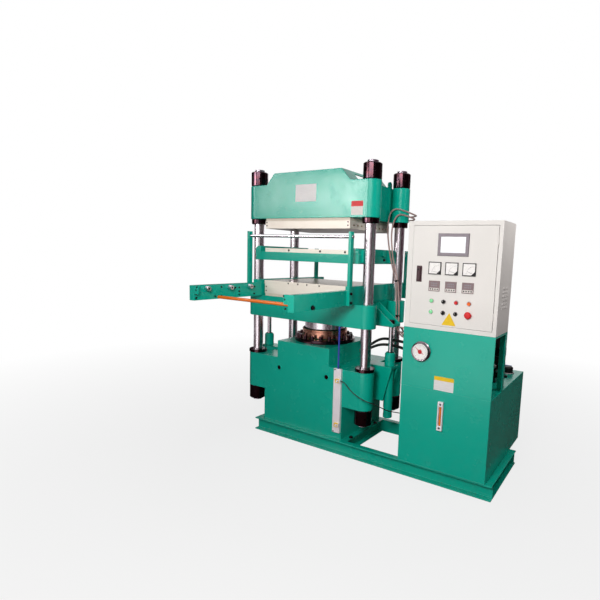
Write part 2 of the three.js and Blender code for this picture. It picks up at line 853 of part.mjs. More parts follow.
// The ring round the middle heating plate, with a saddle for each column
function middleFrame(group) {
  const barInner = columnY + columnRadius + middleBarGap;
  const barOuter = barInner + middleBarThickness;
  const barHalf = columnX - columnRadius;
  const sideOuter = barHalf - guideGap;
  const bars = lengthwise.map((side) =>
    block([-barHalf, barHalf], onSide(side, barInner, barOuter), [middleBottom, middleBarTop]),
  );
  const sideTop = middleBottom + middleSideHeight;
  const sides = sideSigns.map(([, sign]) => block(
    onSide(sign, sideOuter - middleSideThickness, sideOuter),
    [-barOuter, barOuter],
    [middleBottom, sideTop],
  ));
  const saddles = cornerSigns.map(([, sx, sy]) => block(
    onSide(sx, sideOuter - clearance, sideOuter + guideReach),
    onSide(sy, columnY - columnRadius, columnY + columnRadius),
    [middleBottom + guideInset, sideTop - guideInset],
  ));
  const headPlaces = [-barOuter * frontHeadShare, barOuter * rearHeadShare];
  const heads = sideSigns.flatMap(([, sign]) => headPlaces.map((place) => crossBar(
    headRadius,
    onSide(sign, sideOuter - clearance, sideOuter + headLength),
    [place, sideTop - headDrop],
    smallSides,
  )));
  const shape = join(...bars, ...sides, ...saddles, ...heads);
  piece(group, "middle_frame", cut(shape, ...columnHoles([middleBottom, sideTop])), "green");
}

function middleHotPlate(group) {
  const slab = platenBlock([middleBarTop, middleTop]);
  const half = platenHalf - middleBlockInset;
  const depth = columnY + columnRadius + middleBarGap - clearance;
  const under = block([-half, half], [-depth, depth], [middleBottom, middleBarTop + clearance]);
  piece(group, "middle_hot_plate", join(slab, under), "plate");
}

// Aluminium profile with two switch clamps, and the bar that slides in its slot
function travelSensor(group) {
  const right = bodyHalf - profileSide;
  const across = [right - profileWidth, right];
  const depth = [-pressFront - profileDepth, -pressFront];
  const top = shoulderTop + profileTopRise;
  const slotX = (across[0] + across[1]) / 2;
  const slotY = (depth[0] + depth[1]) / 2;
  const barFoot = top - triggerTuck;
  const slot = block(
    [slotX - slotWidth / 2, slotX + slotWidth / 2],
    [slotY - slotDepth / 2, slotY + slotDepth / 2],
    [barFoot - overrun, top + overrun],
  );
  const clamps = clampShares.map((share) => {
    const level = profileBottom + (top - profileBottom) * share;
    return block(
      [right - clampWidth, right],
      [depth[0] - clampDepth, depth[0] + clearance],
      [level - clampHeight / 2, level + clampHeight / 2],
    );
  });
  const profile = join(block(across, depth, [profileBottom, top]), ...clamps);
  piece(group, "sensor_profile", cut(profile, slot), "aluminium");
  const bar = block(
    [slotX - triggerWidth / 2, slotX + triggerWidth / 2],
    [slotY - triggerDepth / 2, slotY + triggerDepth / 2],
    [barFoot, platformBottom],
  );
  const foot = block(
    [slotX - triggerWidth / 2, slotX + triggerWidth / 2],
    [slotY, slotY + triggerFootLength],
    [platformBottom - triggerDepth, platformBottom],
  );
  piece(group, "trigger_bar", join(bar, foot), "blue");
}

// Hollow tank with a hatch in its lid under the pump unit
function oilTank(group) {
  const [hatchX, hatchY] = motorPlace();
  const shell = block([tankLeft, tankRight], [baseFront, tankRear], [baseHeight, tankTop]);
  const hollow = block(
    [tankLeft + tankWall, tankRight - tankWall],
    [baseFront + tankWall, tankRear - tankWall],
    [baseHeight + tankWall, tankTop - tankWall],
  );
  const hatch = block(
    [hatchX - hatchWidth / 2, hatchX + hatchWidth / 2],
    [hatchY - hatchDepth / 2, hatchY + hatchDepth / 2],
    [tankTop - tankWall - overrun, tankTop + overrun],
  );
  piece(group, "oil_tank", cut(shell, hollow, hatch), "green");
}

function motorPlace() {
  return [tankLeft + cabinetWidth * motorAcrossShare, baseFront + tankDepth * motorBackShare];
}

// Motor on its feet, with its fan cover, terminal box and pump, on the plate over the hatch
function pumpMotor(group) {
  const [x, y] = motorPlace();
  const plateTop = tankTop + hatchPlate;
  const axis = plateTop + motorFootHeight + motorRadius;
  const left = x - motorLength / 2;
  const right = x + motorLength / 2;
  const halfWidth = hatchWidth / 2 + hatchRim;
  const halfDepth = hatchDepth / 2 + hatchRim;
  const shape = join(
    block([x - halfWidth, x + halfWidth], [y - halfDepth, y + halfDepth], [tankTop, plateTop]),
    block(
      [left + motorRadius / 2, right - motorRadius / 2],
      [y - motorRadius, y + motorRadius],
      [plateTop - clearance, axis - motorRadius / 2],
    ),
    crossBar(motorRadius, [left, right], [y, axis]),
    crossBar(fanCoverRadius, [right - clearance, right + fanCoverLength], [y, axis]),
    crossBar(pumpRadius, [left - pumpLength, left + clearance], [y, axis]),
    block(
      [x - terminalWidth / 2, x + terminalWidth / 2],
      [y - terminalWidth / 2, y + terminalWidth / 2],
      [axis, axis + motorRadius + terminalHeight],
    ),
  );
  piece(group, "pump_motor", shape, "blackened");
}

function valveManifold(group) {
  const x = tankLeft + cabinetWidth * valveAcrossShare;
  const y = baseFront + tankDepth * valveBackShare;
  const left = x - valveWidth / 2;
  const right = x + valveWidth / 2;
  const level = tankTop + valveHeight - solenoidRadius * 2;
  const shape = join(
    block([left, right], [y - valveDepth / 2, y + valveDepth / 2], [tankTop, tankTop + valveHeight]),
    crossBar(solenoidRadius, [left - solenoidLength, left + clearance], [y, level], smallSides),
    crossBar(solenoidRadius, [right - clearance, right + solenoidLength], [y, level], smallSides),
  );
  piece(group, "valve_manifold", shape, "aluminium");
}

function breatherCap(group) {
  const place = [
    tankLeft + cabinetWidth * breatherAcrossShare,
    baseFront + tankDepth * breatherBackShare,
  ];
  const shape = turned([
    [0, tankTop],
    [breatherFlange, tankTop],
    [breatherFlange, tankTop + breatherFlangeHeight],
    [breatherRadius, tankTop + breatherFlangeHeight],
    [breatherRadius, tankTop + breatherHeight],
    [0, tankTop + breatherHeight],
  ], place);
  piece(group, "breather_cap", shape, "chrome");
}

// Front and left sheets, two posts and the floor under the electric box
function cabinetStand(group) {
  const under = standTop - standFloor;
  const shape = join(
    block([tankLeft, tankRight], [baseFront, baseFront + standSheet], [tankTop, standTop]),
    block([tankLeft, tankLeft + standSheet], [baseFront, boxRear], [tankTop, standTop]),
    block([tankRight - standPostWidth, tankRight], [boxRear - standPostDepth, boxRear], [tankTop, standTop]),
    block([tankLeft, tankRight], [baseFront, boxRear], [under, standTop]),
  );
  piece(group, "cabinet_stand", shape, "green");
}

function electricBox(group) {
  const shell = block([tankLeft, tankRight], [baseFront, boxRear], [standTop, boxTop]);
  const hollow = block(
    [tankLeft + boxWall, tankRight - boxWall],
    [baseFront + boxWall, boxRear - boxWall],
    [standTop + boxWall, boxTop - boxWall],
  );
  const opening = block(
    [doorLeft - doorGap, doorLeft + doorWidth + doorGap],
    [baseFront - overrun, baseFront + boxWall + overrun],
    [doorBottom - doorGap, doorBottom + doorHeight + doorGap],
  );
  piece(group, "electric_box", cut(shell, hollow, opening), "cream");
}

// Back plate of the box with rows of devices on their rails
function mountingPlate(group) {
  const back = boxRear - boxWall;
  const front = back - mountingSheet;
  const left = doorLeft + mountingMargin;
  const right = doorLeft + doorWidth - mountingMargin;
  const low = doorBottom + mountingMargin;
  const high = doorBottom + doorHeight - mountingMargin;
  const pitchX = (right - left) / deviceColumns;
  const pitchZ = (high - low) / deviceRows;
  const devices = [];
  for (let row = 0; row < deviceRows; row += 1) {
    const level = low + pitchZ * (row + 1 / 2);
    devices.push(block([left, right], [front - deviceRail, front + clearance], [
      level - deviceRail, level + deviceRail,
    ]));
    for (let column = 0; column < deviceColumns; column += 1) {
      const x = left + pitchX * (column + 1 / 2);
      devices.push(block(
        [x - deviceWidth / 2, x + deviceWidth / 2],
        [front - deviceDepth, front - deviceRail / 2],
        [level - deviceHeight / 2, level + deviceHeight / 2],
      ));
    }
  }
  piece(group, "mounting_plate", join(block([left, right], [front, back], [low, high]), ...devices), "grey");
}

// Middle of the door's instruments, and the level of a row of them
function doorX(steps, pitch) {
  return doorLeft + doorWidth * instrumentMiddleShare + steps * pitch;
}

function doorZ(share) {
  return doorBottom + doorHeight * share;
}

// A flat block that stands on the door's face
function onDoor(x, z, width, height, depth) {
  return block(
    [x - width / 2, x + width / 2],
    [doorFace - depth, doorFace + clearance],
    [z - height / 2, z + height / 2],
  );
}

// The controls' places, counted in pitches from the middle of the instruments
const lampPlaces = [[-1.5, upperRowShare], [-1.5, lowerRowShare]];
const selectorPlaces = [[-0.5, upperRowShare], [-0.5, lowerRowShare], [0.5, lowerRowShare]];
const redButtonPlace = [0.5, upperRowShare];
const orangeButtonPlace = [1.5, upperRowShare];
const stopPlace = [1.5, lowerRowShare];

function controlPlace([steps, share]) {
  return [doorX(steps, controlPitch), doorZ(share)];
}

function boxDoor(group) {
  const slab = block([doorLeft, doorLeft + doorWidth], [doorFace, doorFace + doorThickness], [
    doorBottom, doorBottom + doorHeight,
  ]);
  const meters = [-1, 0, 1].map((step) =>
    onDoor(doorX(step, meterPitch), doorZ(meterRiseShare), meterWidth, meterHeight, meterDepth),
  );
  const controllers = [-1, 0, 1].map((step) => onDoor(
    doorX(step, controllerPitch),
    doorZ(controllerRiseShare),
    controllerWidth,
    controllerHeight,
    controllerDepth,
  ));
  const lamps = lampPlaces.map((place) =>
    depthBar(lampRadius, [doorFace - lampDepth, doorFace + clearance], controlPlace(place), smallSides),
  );
  const bezelPlaces = [...selectorPlaces, redButtonPlace, orangeButtonPlace, stopPlace];
  const bezels = bezelPlaces.map((place) =>
    depthBar(bezelRadius, [doorFace - bezelDepth, doorFace + clearance], controlPlace(place), smallSides),
  );
  const hinges = hingeShares.map((share) => block(
    [doorLeft + doorWidth - clearance, doorLeft + doorWidth + doorGap - clearance],
    [doorFace, doorFace + doorThickness / 2],
    [doorZ(share) - hingeHeight / 2, doorZ(share) + hingeHeight / 2],
  ));
  const handlePlate = onDoor(
    ...handlePlace(), handleWidth + handlePlateMargin, handleHeight + handlePlateMargin, handlePlateDepth,
  );
  const through = [doorFace - overrun, doorFace + doorThickness + overrun];
  const buttonHoles = [redButtonPlace, orangeButtonPlace].map((place) =>
    depthBar(buttonRadius + clearance, through, controlPlace(place), smallSides),
  );
  const stopHole = depthBar(stemRadius + clearance, through, controlPlace(stopPlace), smallSides);
  const shape = join(slab, ...meters, ...controllers, ...lamps, ...bezels, ...hinges, handlePlate);
  piece(group, "box_door", cut(shape, ...buttonHoles, stopHole), "cream");
}

function handlePlace() {
  return [doorLeft + doorWidth * handleAcrossShare, doorZ(handleRiseShare)];
}

function doorFittings(group) {
  const screen = block(
    [doorX(0, meterPitch) - screenWidth / 2, doorX(0, meterPitch) + screenWidth / 2],
    [doorFace - screenDepth, doorFace],
    [doorZ(screenRiseShare) - screenHeight / 2, doorZ(screenRiseShare) + screenHeight / 2],
  );
  piece(group, "hmi_screen", screen, "grey");
  const [x, z] = handlePlace();
  const handle = block(
    [x - handleWidth / 2, x + handleWidth / 2],
    [doorFace - handlePlateDepth - handleDepth, doorFace - handlePlateDepth],
    [z - handleHeight / 2, z + handleHeight / 2],
  );
  piece(group, "door_handle", handle, "black");
}

function doorControls(group) {
  const seat = doorFace - bezelDepth;
  selectorPlaces.forEach((place, index) => {
    const [x, z] = controlPlace(place);
    const knob = depthBar(knobRadius, [seat - knobDepth, seat], [x, z], smallSides);
    const pointer = block(
      [x - pointerWidth / 2, x + pointerWidth / 2],
      [seat - knobDepth - pointerDepth, seat - knobDepth + clearance],
      [z - pointerLength / 2, z + pointerLength / 2],
    );
    piece(group, `selector_${index + 1}`, join(knob, pointer), "black");
  });
  const back = doorFace + doorThickness;
  const button = (place) =>
    depthBar(buttonRadius, [seat - buttonProud, back], controlPlace(place), smallSides);
  piece(group, "red_button", button(redButtonPlace), "red");
  piece(group, "orange_button", button(orangeButtonPlace), "orange");
  const headBack = seat - stopStemShow;
  const stop = join(
    depthBar(stemRadius, [headBack - clearance, back], controlPlace(stopPlace), smallSides),
    depthBar(stopHeadRadius, [headBack - stopHeadDepth, headBack], controlPlace(stopPlace)),
  );
  piece(group, "emergency_stop", stop, "red");
}

function frontGauges(group) {
  const place = [tankLeft + cabinetWidth * gaugeAcrossShare, tankTop + standHeight * gaugeRiseShare];
  const front = baseFront - gaugeDepth;
  const dial = depthBar(gaugeRadius, [front, baseFront], place);
  const face = depthBar(gaugeRadius - gaugeRim, [front - overrun, front + gaugeRim], place);
  piece(group, "pressure_gauge", cut(dial, face), "black");
  const x = tankLeft + cabinetWidth * levelAcrossShare;
  const z = baseHeight + tankHeight * levelRiseShare;
  const half = levelHeight / 2;
  const across = [x - levelWidth / 2, x + levelWidth / 2];
  const body = block(across, [baseFront - levelDepth, baseFront], [z - half, z + half]);
  const waist = block(
    [x - levelWidth, x + levelWidth],
    [baseFront - levelDepth - overrun, baseFront - levelDepth + levelRecess],
    [z - half + levelEnd, z + half - levelEnd],
  );
  piece(group, "oil_level_gauge", cut(body, waist), "aluminium");
}

// The place on a route that is nearest to a level, on its way down
function atLevel(route, level) {
  const miss = (point) => Math.abs(point[2] - level);
  return route.reduce((best, point) => (miss(point) < miss(best) ? point : best));
}

function hosesAndCables(group) {
  const wraps = wrapLevels.map((level) => {
    const upper = atLevel(upperConduitRoute, level);
    const lower = atLevel(lowerConduitRoute, level);
    const reach = conduitRadius + wrapMargin;
    const levels = [level - wrapHeight / 2, level + wrapHeight / 2];
    return block([upper[0] - reach, lower[0] + reach], [upper[1] - reach, upper[1] + reach], levels);
  });
  const conduits = join(
    cord(upperConduitRoute, conduitRadius, conduitSteps),
    cord(lowerConduitRoute, conduitRadius, conduitSteps),
    ...wraps,
  );
  piece(group, "conduit_pair", conduits, "conduit");
  const [, upperY, upperZ] = upperHoseRoute[0];
  const [, lowerY, lowerZ] = lowerHoseRoute[0];
  const fitting = block(
    [bodyTopHalf + clearance, bodyTopHalf + fittingWidth],
    [lowerY - fittingMargin, upperY + fittingMargin],
    [lowerZ - fittingMargin, upperZ + fittingMargin],
  );
  const hoses = join(
    cord(upperHoseRoute, hoseRadius, hoseSteps),
    cord(lowerHoseRoute, hoseRadius, hoseSteps),
    fitting,
  );
  piece(group, "hydraulic_hoses", hoses, "rubber");
  piece(group, "sensor_cable", cord(cableRoute, cableRadius, cableSteps), "rubber");
}

// Everything about the ram's axis, then moved to the middle of the footprint
const press = new THREE.Group();
const makers = [
  baseFrame, pressBody, mainCylinder, ram, columns, columnNuts, upperBeam, upperHotPlate,
  auxiliaryCylinders, movingPlatform, sideRails, railRollers, lowerHotPlate, slidePlate,
  middleFrame, middleHotPlate, travelSensor, oilTank, pumpMotor, valveManifold, breatherCap,
  cabinetStand, electricBox, mountingPlate, boxDoor, doorFittings, doorControls, frontGauges,
  hosesAndCables,
];
makers.forEach((make) => make(press));
const footprintX = (baseRight - bracketX) / 2;
const footprintY = (tankRear + railFront) / 2;
press.position.set(-footprintX, -footprintY, 0);
const vulcanizingPress = new THREE.Group();
vulcanizingPress.add(press);

export default vulcanizingPress;
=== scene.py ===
"""The looks of a four-column plate vulcanizing press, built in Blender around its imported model.

Metres, +Z up. X runs towards the electric box and Y towards the back. Places that are not taken
from the model's own boxes are measured from the axis of the ram.
"""

import logging
import math
from collections.abc import Callable, Iterable, Sequence
from dataclasses import dataclass
from enum import Enum
from itertools import pairwise, product

import bpy
from mathutils import Matrix, Vector


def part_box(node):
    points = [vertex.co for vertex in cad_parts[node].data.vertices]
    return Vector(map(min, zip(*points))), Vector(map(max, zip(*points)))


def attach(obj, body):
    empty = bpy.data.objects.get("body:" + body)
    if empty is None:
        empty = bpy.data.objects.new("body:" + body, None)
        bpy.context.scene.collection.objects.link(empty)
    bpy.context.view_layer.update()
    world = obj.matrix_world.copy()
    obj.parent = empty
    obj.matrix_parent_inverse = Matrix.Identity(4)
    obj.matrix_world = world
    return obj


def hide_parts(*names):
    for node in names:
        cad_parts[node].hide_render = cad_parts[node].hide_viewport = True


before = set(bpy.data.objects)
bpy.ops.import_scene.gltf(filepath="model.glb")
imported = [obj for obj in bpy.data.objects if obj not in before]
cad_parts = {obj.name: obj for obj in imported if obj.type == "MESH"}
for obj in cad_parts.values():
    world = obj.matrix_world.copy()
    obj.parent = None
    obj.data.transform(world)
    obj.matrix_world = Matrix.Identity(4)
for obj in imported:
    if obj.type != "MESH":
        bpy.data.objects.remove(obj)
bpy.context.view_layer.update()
log = logging.getLogger("vulcanizing_press")

UP = Vector((0, 0, 1))
RIGHT = Vector((1, 0, 0))
LEFT = Vector((-1, 0, 0))
BACK = Vector((0, 1, 0))
FRONT = Vector((0, -1, 0))

Test = Callable[[Vector, Vector], bool]
Socket = bpy.types.NodeSocket
Profile = Sequence[tuple[float, float]]
Three = tuple[float, float, float]
Four = tuple[float, float, float, float]
Route = Sequence[Three]
WHITE: Four = (1.0, 1.0, 1.0, 1.0)


@dataclass(frozen=True)
class Extent:
    """An upright box in the press's frame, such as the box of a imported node."""

    low: Vector
    high: Vector

    @classmethod
    def of(cls, node: str) -> "Extent":
        """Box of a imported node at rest."""
        return cls(*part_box(node))

    @classmethod
    def around(cls, centre: Vector, size: Sequence[float]) -> "Extent":
        """Box of a given size about its centre."""
        half = Vector(size) / 2
        return cls(centre - half, centre + half)

    @property
    def centre(self) -> Vector:
        """Middle of the box."""
        return (self.low + self.high) / 2

    @property
    def size(self) -> Vector:
        """Lengths of the box's three sides."""
        return self.high - self.low

    def at(self, x_share: float, y_share: float, z_share: float) -> Vector:
        """Point at shares of the box's three sides, each from its lower end."""
        shares = Vector((x_share, y_share, z_share))
        return self.low + self.size * shares

    def shrunk(self, x: float, y: float, z: float) -> "Extent":
        """Box with each pair of sides moved in by its own amount."""
        by = Vector((x, y, z))
        return Extent(self.low + by, self.high - by)


RAM = Extent.of("ram")


def at(x: float, y: float, z: float) -> Vector:
    """Point measured from the axis of the ram."""
    return Vector((RAM.centre.x + x, RAM.centre.y + y, z))


def on_front(middle: Vector, normal: Vector) -> bool:
    """Whether a face looks to the front."""
    return normal.y < -0.9


def on_top(middle: Vector, normal: Vector) -> bool:
    """Whether a face looks up."""
    return normal.z > 0.9


def linear(colour: str, strength: float = 1.0) -> Four:
    """Turn a colour that is written as hex into the values that shaders take.

    Args:
        colour: Six hex digits after a number sign.
        strength: Factor on all three parts, which stay at most 1.

    Returns:
        Red, green, blue and a full alpha.
    """
    parts = [int(colour[start : start + 2], 16) / 255 for start in (1, 3, 5)]
    red, green, blue = (
        min(1.0, strength * (part / 12.92 if part <= 0.04045 else ((part + 0.055) / 1.055) ** 2.4))
        for part in parts
    )
    return red, green, blue, 1.0


class NodeTree:
    """Nodes of a material or of the surroundings, each added with what leads into it."""

    def __init__(self, owner: bpy.types.Material | bpy.types.World) -> None:
        """Switch the owner's nodes on.

        Args:
            owner: Material or world that the nodes belong to.
        """
        owner.use_nodes = True
        self.nodes = owner.node_tree.nodes
        self.links = owner.node_tree.links

    def add(
        self, kind: str, inputs: dict[int | str, object], output: int | str = 0, **options: object
    ) -> Socket:
        """Add a node, choose its options, and lead sockets or plain values into it.

        Args:
            kind: Its type.
            inputs: A socket or a value for each input that is used.
            output: Output to go on with.
            options: Its other settings.

        Returns:
            That output.
        """
        node = self.nodes.new(f"ShaderNode{kind}")
        for option, value in options.items():
            setattr(node, option, value)
        for slot, value in inputs.items():
            if isinstance(value, Socket):
                self.links.new(value, node.inputs[slot])
            else:
                node.inputs[slot].default_value = value
        return node.outputs[output]

    def surface(self, source: Socket) -> None:
        """Lead a shader to the material's output."""
        self.links.new(source, self.nodes["Material Output"].inputs["Surface"])


class Recipe(NodeTree):
    """Nodes of one finish, wired step by step round its Principled shader."""

    def __init__(self, name: str) -> None:
        """Start a material with the coordinates that its patterns read.

        Args:
            name: The material's name.
        """
        self.material = bpy.data.materials.new(name)
        super().__init__(self.material)
        self.shader = self.nodes["Principled BSDF"]
        coordinates = self.nodes.new("ShaderNodeTexCoord")
        self.place = coordinates.outputs["Object"]
        self.unwrapped = coordinates.outputs["UV"]

    def plain(self, **values: float | tuple[float, ...]) -> None:
        """Set sockets that are the same all over.

        Args:
            values: Their values, named with low lines for the spaces of their names.
        """
        for name, value in values.items():
            socket = name.replace("_", " ").title().replace("Ior", "IOR")
            self.shader.inputs[socket].default_value = value

    def stretched(self, stretch: Sequence[float], source: Socket | None = None) -> Socket:
        """Coordinates scaled by their own factor along each axis."""
        return self.add("Mapping", {"Scale": stretch, "Vector": source or self.place}, "Vector")

    def noise(self, scale: float, detail: float = 3.0, stretch: Sequence[float] = (1, 1, 1)) -> Socket:
        """Cloudy pattern from 0 to 1, by clouds in a metre, finer layers and stretch along each axis."""
        inputs = {"Scale": scale, "Detail": detail, "Vector": self.stretched(stretch)}
        return self.add("TexNoise", inputs, "Fac")

    def wave(self, scale: float, source: Socket, along: str = "X") -> Socket:
        """Even ribs across one axis of some coordinates."""
        return self.add("TexWave", {"Scale": scale, "Vector": source}, "Fac", bands_direction=along)

    def ranged(
        self, source: Socket, low: float, high: float, to_low: float = 0.0, to_high: float = 1.0
    ) -> Socket:
        """Pattern with one span of its values drawn out to another, and held at its ends."""
        inputs = {"Value": source, "From Min": low, "From Max": high, "To Min": to_low, "To Max": to_high}
        return self.add("MapRange", inputs, "Result")

    def height(self) -> Socket:
        """Height above the floor."""
        return self.add("SeparateXYZ", {"Vector": self.place}, "Z")

    def product(self, first: Socket, second: Socket) -> Socket:
        """Two patterns multiplied."""
        return self.add("Math", {0: first, 1: second}, "Value", operation="MULTIPLY")

    def blend(self, share: Socket, first: Socket | Four, second: Socket | Four) -> Socket:
        """Colour between two others, which are sockets or values, by a share."""
        return self.add("Mix", {"Factor": share, 6: first, 7: second}, 2, data_type="RGBA")

    def feed(self, socket: str, source: Socket) -> None:
        """Lead a pattern into a socket of the shader."""
        self.links.new(source, self.shader.inputs[socket])

    def bump(self, *layers: tuple[Socket, float]) -> None:
        """Raise the surface by patterns.

        Args:
            layers: The patterns, each with its height in metres.
        """
        under = {}
        for pattern, height in layers:
            under = {"Normal": self.add("Bump", {"Distance": height, "Height": pattern, **under}, "Normal")}
        self.feed("Normal", under["Normal"])


@dataclass(frozen=True)
class Finish:
    """Look of a surface, and the record's slot that it stands for."""

    name: str
    slot: str
    colour: str
    roughness: float = 0.4

    def wire(self, recipe: Recipe) -> None:
        """Lay the finish's patterns on a recipe."""
        raise NotImplementedError

    def material(self) -> bpy.types.Material:
        """Make the finish's material the first time that it is asked for.

        Returns:
            The material.
        """
        made = bpy.data.materials.get(self.name)
        if made is None:
            recipe = Recipe(self.name)
            self.wire(recipe)
            made = recipe.material
        return made


@dataclass(frozen=True)
class Enamel(Finish):
    """Sprayed machine enamel: slightly cloudy, with orange peel and a little dust low down."""

    deep_share: float = 0.95
    chips: bool = False
    gloss: float = 0.05

    def wire(self, recipe: Recipe) -> None:
        """Cloud the colour, dust it near the floor, and chip it where it runs over an edge.

        Args:
            recipe: The finish's nodes.
        """
        clouds = recipe.ranged(recipe.noise(2.4, 4), 0.3, 0.7)
        tone = recipe.blend(clouds, linear(self.colour, self.deep_share), linear(self.colour, 1.03))
        dusty_height = recipe.ranged(recipe.height(), 0.0, 0.4, 0.08, 0.0)
        dust = recipe.product(recipe.ranged(recipe.noise(18, 6), 0.45, 0.8), dusty_height)
        tone = recipe.blend(dust, tone, linear("#6f7f76"))
        if self.chips:
            chip = recipe.ranged(recipe.noise(75, 6), 0.66, 0.69)
            tone = recipe.blend(chip, tone, linear("#4a4744"))
        recipe.feed("Base Color", tone)
        recipe.feed(
            "Roughness",
            recipe.ranged(recipe.noise(9, 5), 0.3, 0.75, self.roughness - 0.03, self.roughness + 0.06),
        )
        recipe.plain(Specular_IOR_Level=0.36, Coat_Weight=self.gloss, Coat_Roughness=0.12)
        recipe.bump((recipe.noise(330, 2), 0.00012), (recipe.noise(7, 2), 0.0012))


@dataclass(frozen=True)
class PowderCoat(Finish):
    """Baked powder on sheet steel: a fine even grain with faint hand marks."""

    def wire(self, recipe: Recipe) -> None:
        """Grain the surface and mottle its colour and gloss.

        Args:
            recipe: The finish's nodes.
        """
        marks = recipe.ranged(recipe.noise(3.5, 5), 0.35, 0.75)
        recipe.feed("Base Color", recipe.blend(marks, linear(self.colour), linear(self.colour, 0.93)))
        recipe.feed(
            "Roughness", recipe.ranged(recipe.noise(11, 4), 0.3, 0.7, self.roughness, self.roughness + 0.12)
        )
        recipe.plain(Specular_IOR_Level=0.2, Coat_Weight=0.03, Coat_Roughness=0.3)
        recipe.bump((recipe.noise(900, 1), 0.00006), (recipe.noise(5, 1), 0.0006))


@dataclass(frozen=True)
class Metal(Finish):
    """Bare metal with the fine lines that its last machining left, and faint stains."""

    grain: Three = (1, 1, 1)
    grain_scale: float = 220
    stain: str = "#8a7a70"
    stain_share: float = 0.25
    line_depth: float = 0.00004
    metallic: float = 1.0
    contrast: float = 0.08

    def wire(self, recipe: Recipe) -> None:
        """Draw the machining lines into the colour, the gloss and the surface.

        Args:
            recipe: The finish's nodes.
        """
        lines = recipe.noise(self.grain_scale, 4, self.grain)
        stains = recipe.ranged(recipe.noise(6, 6), 0.52, 0.8, 0.0, self.stain_share)
        dark, bright = linear(self.colour, 1 - self.contrast), linear(self.colour, 1 + self.contrast / 2)
        tone = recipe.blend(recipe.ranged(lines, 0.3, 0.7), dark, bright)
        recipe.feed("Base Color", recipe.blend(stains, tone, linear(self.stain)))
        recipe.feed(
            "Roughness",
            recipe.ranged(lines, 0.3, 0.7, max(0.03, self.roughness - 0.05), self.roughness + 0.06),
        )
        recipe.plain(Metallic=self.metallic)
        recipe.bump((lines, self.line_depth))


@dataclass(frozen=True)
class Oxide(Finish):
    """Blackened steel under a film of oil, mottled and a little pitted."""

    rust: str = "#5a2420"

    def wire(self, recipe: Recipe) -> None:
        """Mottle the dark skin, let rust brown show through, and vary the oil's gloss.

        Args:
            recipe: The finish's nodes.
        """
        mottle = recipe.ranged(recipe.noise(34, 6), 0.4, 0.72)
        recipe.feed("Base Color", recipe.blend(mottle, linear(self.colour), linear(self.rust)))
        recipe.feed(
            "Roughness",
            recipe.ranged(recipe.noise(16, 5), 0.3, 0.7, self.roughness, self.roughness + 0.1),
        )
        recipe.plain(Metallic=1.0, Coat_Weight=0.03, Coat_Roughness=0.08)
        recipe.bump((recipe.noise(420, 3), 0.00002))


@dataclass(frozen=True)
class Moulded(Finish):
    """Moulded plastic or soft sheet with a spark-eroded grain."""

    grain_depth: float = 0.00005
    glow: float = 0.0
    clear: float = 0.0

    def wire(self, recipe: Recipe) -> None:
        """Grain the surface, and let a lamp's lens glow a little.

        Args:
            recipe: The finish's nodes.
        """
        tone = recipe.ranged(recipe.noise(60, 3), 0.3, 0.7)
        recipe.feed("Base Color", recipe.blend(tone, linear(self.colour, 0.92), linear(self.colour, 1.05)))
        recipe.feed(
            "Roughness", recipe.ranged(recipe.noise(90, 3), 0.3, 0.7, self.roughness, self.roughness + 0.08)
        )
        recipe.plain(Specular_IOR_Level=0.25, Coat_Weight=self.clear, Coat_Roughness=0.05)
        if self.glow:
            recipe.plain(Emission_Color=linear(self.colour), Emission_Strength=self.glow)
        recipe.bump((recipe.noise(1200, 2), self.grain_depth))


@dataclass(frozen=True)
class Sleeving(Finish):
    """Flexible sleeve along a cord, ribbed or braided by the cord's own length."""

    ribs: float = 400
    rib_height: float = 0.0006
    braided: bool = False
    metallic: float = 0.0

    def wire(self, recipe: Recipe) -> None:
        """Rib the sleeve across its length, or braid it with two crossing lays.

        Args:
            recipe: The finish's nodes.
        """
        ribs = recipe.wave(1.0, recipe.stretched((self.ribs, 0, 0), recipe.unwrapped))
        if self.braided:
            over = recipe.wave(1.0, recipe.stretched((self.ribs, 6, 0), recipe.unwrapped), "DIAGONAL")
            under = recipe.wave(1.0, recipe.stretched((self.ribs, -6, 0), recipe.unwrapped), "DIAGONAL")
            ribs = recipe.product(over, under)
        grime = recipe.ranged(recipe.noise(14, 5), 0.45, 0.8, 0.0, 0.5)
        # The colour follows the ribs, darker in their grooves: painted groove shade.
        tone = recipe.blend(ribs, linear(self.colour, 0.62), linear(self.colour, 1.06))
        recipe.feed("Base Color", recipe.blend(grime, tone, linear(self.colour, 0.6)))
        recipe.feed("Roughness", recipe.ranged(ribs, 0.0, 1.0, self.roughness + 0.15, self.roughness))
        recipe.plain(Metallic=self.metallic)
        recipe.bump((ribs, self.rib_height))


@dataclass(frozen=True)
class Board(Finish):
    """Pressed insulation board with fibres and specks."""

    def wire(self, recipe: Recipe) -> None:
        """Lay fibres one way and scatter darker specks.

        Args:
            recipe: The finish's nodes.
        """
        fibres = recipe.ranged(recipe.noise(90, 5, (0.2, 1, 2.5)), 0.3, 0.7)
        specks = recipe.ranged(recipe.noise(160, 2), 0.68, 0.74, 0.0, 0.6)
        tone = recipe.blend(fibres, linear(self.colour, 0.88), linear(self.colour))
        recipe.feed("Base Color", recipe.blend(specks, tone, linear("#7d6a58")))
        recipe.plain(Roughness=self.roughness)
        recipe.bump((fibres, 0.0002))


